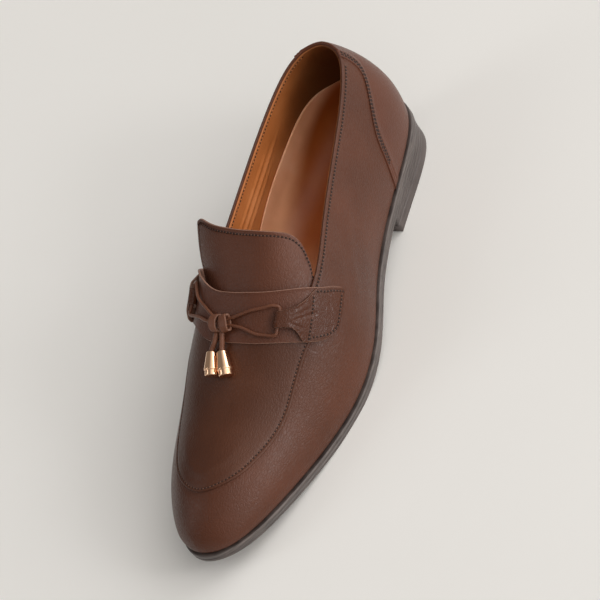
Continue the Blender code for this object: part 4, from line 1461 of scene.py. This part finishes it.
# sock of the footbed, cupped: it turns up along the inside of the heel and waist
sock = {
    # station, height of its edge above the sole
    "edge": np.array((
        (0.0, 24.0),
        (10.0, 26.0),
        (18.0, 29.5),
        (34.0, 33.0),
        (57.0, 32.0),
        (82.0, 30.0),
        (103.0, 26.0),
        (125.0, 18.0),
        (146.0, 9.0),
    )),
    "inset": 3.6,
    "bottom": 4.4,
    "corner": 17.0,      # radius where the turned-up side meets the bottom
    "cornerShare": 0.55, # and at most this share of the half width
    "thick": 0.9,
    "first": 0.10,
    "rows": 64,
    "wallPoints": 12,
    "cornerPoints": 16,
    "flatPoints": 9,
    "backRows": 10,      # rows that close the cup behind the heel
    "backFrom": 0.06,    # their edge, as shares of the way across
    "backOver": 0.88,
    "round": 0.1,
}


def sockSide(station, side):
    # points from the edge down the wall and round the corner, with the inward direction
    edge = float(naturalSpline(*sock["edge"].T, np.array(station)))
    middle, half = sectionAt(np.array(station))
    radius = min(sock["corner"], float(half) * sock["cornerShare"])
    start = math.asin(np.clip(1 - (edge - sock["bottom"]) / radius, 0.0, 1.0))
    turned = np.linspace(start, math.pi / 2, sock["cornerPoints"])
    low = sock["bottom"] + radius * (1 - math.sin(start))
    high = np.linspace(edge, low, sock["wallPoints"], endpoint=False)
    height = np.concatenate((high, sock["bottom"] + radius * (1 - np.sin(turned))))
    inward = np.concatenate((np.zeros(sock["wallPoints"]), radius * (1 - np.cos(turned)))) + sock["inset"]
    _, _, ridge, _, steep = shapeAt(np.array(station), side)
    angle = side * np.arccos(np.clip(height / ridge, 0.0, nearRidge) ** (steep / 2))
    wallAt = np.full(height.shape, station)
    here = lastByAngle(wallAt, angle)
    beside = lastByAngle(wallAt + wideStep, angle) - lastByAngle(wallAt - wideStep, angle)
    normal = unit(np.stack((beside[:, 1], -beside[:, 0], np.zeros(len(beside))), -1))
    inside = np.array((float(middle), here[0, 1] - 1.0, 0.0))
    normal *= np.sign((normal * (inside - here)).sum(-1, keepdims=True))
    return here + normal * inward[:, None]


def buildSock():
    stop = float(turnAngle(shareOf(sock["edge"][-1, 0])))
    rows = []
    for turned in np.linspace(sock["first"], stop, sock["rows"]):
        station = float(stationAt(turned))
        lateral, medial = sockSide(station, 1.0), sockSide(station, -1.0)
        share = np.linspace(0.0, 1.0, sock["flatPoints"] + 2)[1:-1, None]
        rows.append(np.concatenate((medial, medial[-1] + (lateral[-1] - medial[-1]) * share, lateral[::-1])))
    run = runAlong(rows[0])
    across = sock["backFrom"] + sock["backOver"] * (run / run[-1])[:, None]
    rim = rows[0][0] + (rows[0][-1] - rows[0][0]) * across
    closing = [rim + (rows[0] - rim) * t for t in np.linspace(0.0, 1.0, sock["backRows"], endpoint=False)]
    upper = np.array(closing + rows)
    normal = unit(np.cross(np.gradient(upper, axis=0), np.gradient(upper, axis=1)))
    normal *= np.sign(normal[..., 2].mean())
    normal[0, [0, -1]] = normal[0, [1, -2]]
    addSheet("sock", upper, upper - normal * sock["thick"], [insoleHide] * 3, ("insole",),
             edge=sock["round"])


buildSock()
print("sock ready")

# tongue: behind the strap, its medial wing flared, its top edge dipped in the middle
tongue = {
    # station, half angle, flare of the medial wing
    "outline": np.array((
        (200.0, 34.0, 0.0),
        (186.0, 39.0, 0.0),
        (172.0, 44.0, 0.0),
        (162.0, 47.0, 0.8),
        (155.0, 48.0, 4.0),
        (148.0, 48.0, 7.8),
        (140.0, 48.0, 11.2),
        (122.0, 48.0, 17.0),
    )),
    "medialNarrow": 0.86,
    # place across, station of the top edge
    "topEdge": np.array((
        (-1.00, 129.4), (-0.95, 128.8), (-0.82, 130.8), (-0.60, 135.0), (-0.26, 138.3), (-0.06, 139.4),
        (0.27, 139.0), (0.59, 136.3), (0.73, 135.6), (0.82, 136.5), (0.90, 139.4), (0.956, 143.2),
        (0.99, 147.9), (1.00, 152.0),
    )),
    "front": 198.0,
    "sink": 2.3,
    "thick": 1.6,
    "rows": 64,
    "columns": 57,
    "columnCrowd": 1.35,       # columns and rows crowd towards the edges by these powers
    "rowCrowd": 1.6,
    "flarePower": 1.6,
    "firstFree": 8,            # first row with a free edge
    "bead": (0.14, 0.9, 0.7),  # swell along the edge: height, distance in, width
    "stitchIn": 2.3,
    "furrow": (0.22, 0.55),    # depth, width
    # rows and columns without stitches: front, medial corner, lateral corner, both corners across
    "unsewn": (20, 4, 6, 3),
}


def buildTongue():
    t = np.linspace(-1.0, 1.0, tongue["columns"])
    t = np.sign(t) * (1 - (1 - np.abs(t)) ** tongue["columnCrowd"])
    top = naturalSpline(*tongue["topEdge"].T, t)
    down = 1 - (1 - np.linspace(0.0, 1.0, tongue["rows"])) ** tongue["rowCrowd"]
    station = tongue["front"] + (top - tongue["front"])[None, :] * down[:, None]
    table = tongue["outline"][::-1]
    half = np.radians(naturalSpline(table[:, 0], table[:, 1], station))
    flare = naturalSpline(table[:, 0], table[:, 2], station)
    x = xAtAngle(station, half * np.where(t < 0, t * tongue["medialNarrow"], t))
    lift = flare * np.clip(-t, 0.0, 1.0) ** tongue["flarePower"] - tongue["sink"]
    here, normal = surfaceAt(station, x)
    outer = here + normal * lift[..., None]
    free = outer[tongue["firstFree"]:]
    far = polylineDistance(outer, np.concatenate((free[:, 0], free[-1, 1:-1], free[::-1, -1])))
    (high, beadIn, beadWide), (deep, furrowWide) = tongue["bead"], tongue["furrow"]
    sewn = high * bump(far - beadIn, beadWide) - deep * bump(far - tongue["stitchIn"], furrowWide)
    outer = outer + normal * sewn[..., None]
    inner = here + normal * (lift - tongue["thick"])[..., None]
    addSheet("tongue_flap", outer, inner, [tongueCalf, inkedEdge, liningHide], ("tongue",))
    return {"outer": outer, "normal": normal}


tongueMade = buildTongue()


def buildStrap():
    end = strap["outline"][-1, 0]
    angle = np.radians(np.linspace(-end, end, strap["columns"]))
    rear, front = strapEdges(angle)
    even = np.linspace(0.0, 1.0, strap["across"])
    t = strap["evenness"] * even + (1 - strap["evenness"]) / 2 * (1 - np.cos(math.pi * even))
    station = rear[:, None] + (front - rear)[:, None] * t
    wide = angle[:, None] + np.sign(angle[:, None]) * slanted(angle[:, None], t)
    here, normal = surfaceAt(station, xAtAngle(station, wide))
    drop = settled(wide)
    broad = np.linalg.norm(here[:, -1] - here[:, 0], axis=1)[:, None]
    curl = strap["curl"] * bump(broad * t, strap["curlWide"]) + stood(angle[:, None], station)
    outer = here + normal * (strap["top"] - drop + curl)[..., None]
    inner = here + normal * (strap["under"] - drop * strap["underSettle"] + curl)[..., None]
    addSheet("strap_saddle", outer, inner, [strapCalf, inkedEdge, inkedEdge],
             ("saddle_strap",))


buildStrap()

# end pieces of the strap, each narrowed and rolled over the lace
tabWork = {
    "across": 64,
    "along": 44,
    "rollSteps": 14,
    "pad": (0.35, 16.0, 7.0),    # swell: height, distance from the fold, width
    # troughs fanned out from the fold: mm along from the fold, place across (0 rear to 1 front), depth
    "wrinkles": (
        ((6.4, 0.24), (13.0, 0.10), 0.30),
        ((6.0, 0.44), (14.5, 0.30), 0.36),
        ((8.0, 0.62), (19.0, 0.46), 0.44),
        ((6.2, 0.76), (12.5, 0.74), 0.34),
        ((7.6, 0.90), (13.0, 0.92), 0.26),
    ),
    "wrinkleWidth": 0.95,
    "stitchIn": 2.2,
    "innerLine": 19.5,
    "unsewn": (4, 3),            # columns without stitches at the sides of the end row and of the inner row
}


def buildTab(name, side):
    made = tabGrid(side, tabWork["across"], tabWork["along"], 1.0)
    outer, inner, run = made["outer"], made["inner"], made["run"]
    normal = unit(outer - inner)
    t = np.linspace(0.0, 1.0, tabWork["along"] + 1)
    dent = np.zeros(outer.shape[:2])
    for start, stop, depth in tabWork["wrinkles"]:
        line = []
        for far, wide in (start, stop):
            i = int(np.argmin(np.abs(run - far)))
            j = int(round(wide * tabWork["along"]))
            line.append(outer[i, j])
        dent -= depth * bump(polylineDistance(outer, np.array(line)), tabWork["wrinkleWidth"])
    high, padAt, padWide = tabWork["pad"]
    pad = high * bump(run - padAt, padWide)[:, None] * np.sin(t * math.pi)[None]
    outer = outer + normal * (dent + pad)[..., None]
    rolledIn, rolledOut = [], []
    for turned in np.linspace(0.0, math.pi, tabWork["rollSteps"])[1:]:
        ray = made["lift"] * math.cos(turned) + made["forward"] * math.sin(turned)
        rolledIn.append(made["fold"] + ray * tab["foldRadius"])
        rolledOut.append(made["fold"] + ray * (tab["foldRadius"] + tab["thick"]))
    for back in (tab["foldTail"] / 2, tab["foldTail"]):
        rolledIn.append(rolledIn[tabWork["rollSteps"] - 2] - made["forward"] * back)
        rolledOut.append(rolledOut[tabWork["rollSteps"] - 2] - made["forward"] * back)
    allOuter = np.concatenate((outer, np.array(rolledOut)))
    allInner = np.concatenate((inner, np.array(rolledIn)))
    addSheet(name, allOuter, allInner, [tabCalf, tabEdge, tabEdge],
             (name.replace("end", "tab"),))
    return {"outer": outer, "normal": normal, "run": run}


tabsMade = {name: buildTab(name, side) for name, side in (("end_lateral", 1.0), ("end_medial", -1.0))}
print("tongue, strap and end pieces ready")

# stitches: short arched threads with a needle hole between each pair, drawn as a near-black disc of painted
# shade
stitching = {
    "pitch": 2.1,
    "length": 1.5,
    "radius": 0.30,
    "holeRadius": 0.62,
    "holeLift": 0.16,
    "holeDeep": 0.2,
    "sides": 6,
    "unsewn": (4, 12),    # columns without stitches at the back of the heel: wall, lining
    # place along the stitch, radius share, height
    "profile": ((-0.30, 0.75, -0.02), (-0.12, 1.0, 0.10), (0.12, 1.0, 0.10), (0.30, 0.75, -0.02)),
}


def joinSolid(loops, look, points, faces, looks):
    # one more closed solid in a mesh of many
    start = len(points)
    made = loft(loops)
    points.extend(loops.reshape(-1, 3))
    faces.extend(tuple(start + v for v in face) for face in made)
    looks.extend([look] * len(made))


def stitchRow(path, normals, points, faces, looks, size):
    run = runAlong(path)
    count = max(2, int(round(run[-1] / stitching["pitch"])))
    at = (np.arange(count) + 0.5) * run[-1] / count
    place = pointsAt(at, run, path)
    normal = unit(pointsAt(at, run, normals))
    ahead = pointsAt(at + slopeStep, run, path) - pointsAt(at - slopeStep, run, path)
    along = unit(ahead - normal * (ahead * normal).sum(-1, keepdims=True))
    beside = np.cross(normal, along)
    spin = np.linspace(0.0, 2 * math.pi, stitching["sides"], endpoint=False)
    circle = list(zip(np.cos(spin), np.sin(spin)))
    for p, n, a, b in zip(place, normal, along, beside):
        loops = []
        for share, thick, high in stitching["profile"]:
            centre = p + a * share * stitching["length"] + n * high
            loops.append([centre + (b * u + n * v) * stitching["radius"] * thick for u, v in circle])
        joinSolid(np.array(loops), 0, points, faces, looks)
        # painted shade: a near-black disc where the needle hole's shadow is
        middle = p + a * stitching["pitch"] / 2
        rim = np.array([middle + (b * u + a * v) * stitching["holeRadius"] * size for u, v in circle])
        hole = np.array((rim - n * stitching["holeDeep"], rim + n * stitching["holeLift"] * size))
        joinSolid(hole, 1, points, faces, looks)


def addStitches(name, rows, thread=brownThread, size=1.0):
    points, faces, looks = [], [], []
    for path, normals in rows:
        stitchRow(np.asarray(path), np.asarray(normals), points, faces, looks, size)
    addPiece(name, np.array(points), faces, [thread, needleHole], (), looks)


def sewTopline():
    wallSkip, liningSkip = stitching["unsewn"]
    for name, made, face, columns, skip, slot, thread, size in (
            ("stitches_topline", wallMade, "outer", wall["rearColumns"], wallSkip, "upper_leather",
             brownThread, 1.2),
            ("stitches_lining", liningMade, "inner", lining["rearColumns"], liningSkip, "insole_leather",
             tanThread, 1.0)):
        points, normal, row = made[face], made["normal"], made["stitchRow"]
        sides = (slice(skip, columns), slice(len(points) - columns, len(points) - skip))
        addStitches(name, [(points[part, row], normal[part, row]) for part in sides], thread, size)


def sewCounter():
    outer, normal = counterMade["outer"], counterMade["normal"]
    low, high = counter["unsewn"][0], len(counter["shares"]) - counter["unsewn"][1]
    rows = []
    for column in counterMade["stitchColumns"]:
        for at in (column, len(outer) - 1 - column):
            rows.append((outer[at, low:high], normal[at, low:high]))
    addStitches("stitches_counter", rows, size=1.5)


def insetLine(grid, inset, values):
    # values at a set distance in from the start of each row of a grid
    return np.array([pointsAt(inset, runAlong(row), value) for row, value in zip(grid, values)])


def sewTongue():
    outer, normal = tongueMade["outer"], tongueMade["normal"]
    inset = tongue["stitchIn"]
    front, medialEnd, lateralEnd, corner = tongue["unsewn"]
    left, right = outer[front:-medialEnd], outer[front:-lateralEnd, ::-1]
    top, topUp = (grid[::-1, corner:-corner].transpose(1, 0, 2) for grid in (outer, normal))
    path = np.concatenate((insetLine(left, inset, left), insetLine(top, inset, top),
                           insetLine(right, inset, right)[::-1]))
    facing = np.concatenate((normal[front:-medialEnd, 1], insetLine(top, inset, topUp),
                             normal[front:-lateralEnd, -2][::-1]))
    addStitches("stitches_tongue", [(path, facing)])


def sewTabs():
    rows = []
    inset = tabWork["stitchIn"]
    ends, inner = (slice(skip, -skip) for skip in tabWork["unsewn"])
    for made in tabsMade.values():
        outer, normal = made["outer"], made["normal"]
        fromEnd = made["run"][0] - made["run"]
        start, stop = (int(np.argmin(np.abs(fromEnd - at))) for at in (inset, tabWork["innerLine"]))
        rear, front = outer[start:stop], outer[start:stop, ::-1]
        path = np.concatenate((insetLine(rear, inset, rear)[::-1], outer[start, ends],
                               insetLine(front, inset, front)))
        facing = np.concatenate((normal[start:stop, 1][::-1], normal[start, ends], normal[start:stop, -2]))
        rows += [(path, facing), (outer[stop, inner], normal[stop, inner])]
    addStitches("stitches_ends", rows)


sewTopline()
sewCounter()
addStitches("stitches_apron", [(apronMade["stitch"], apronMade["normal"])], size=0.8)
sewTongue()
sewTabs()
print("stitches ready")
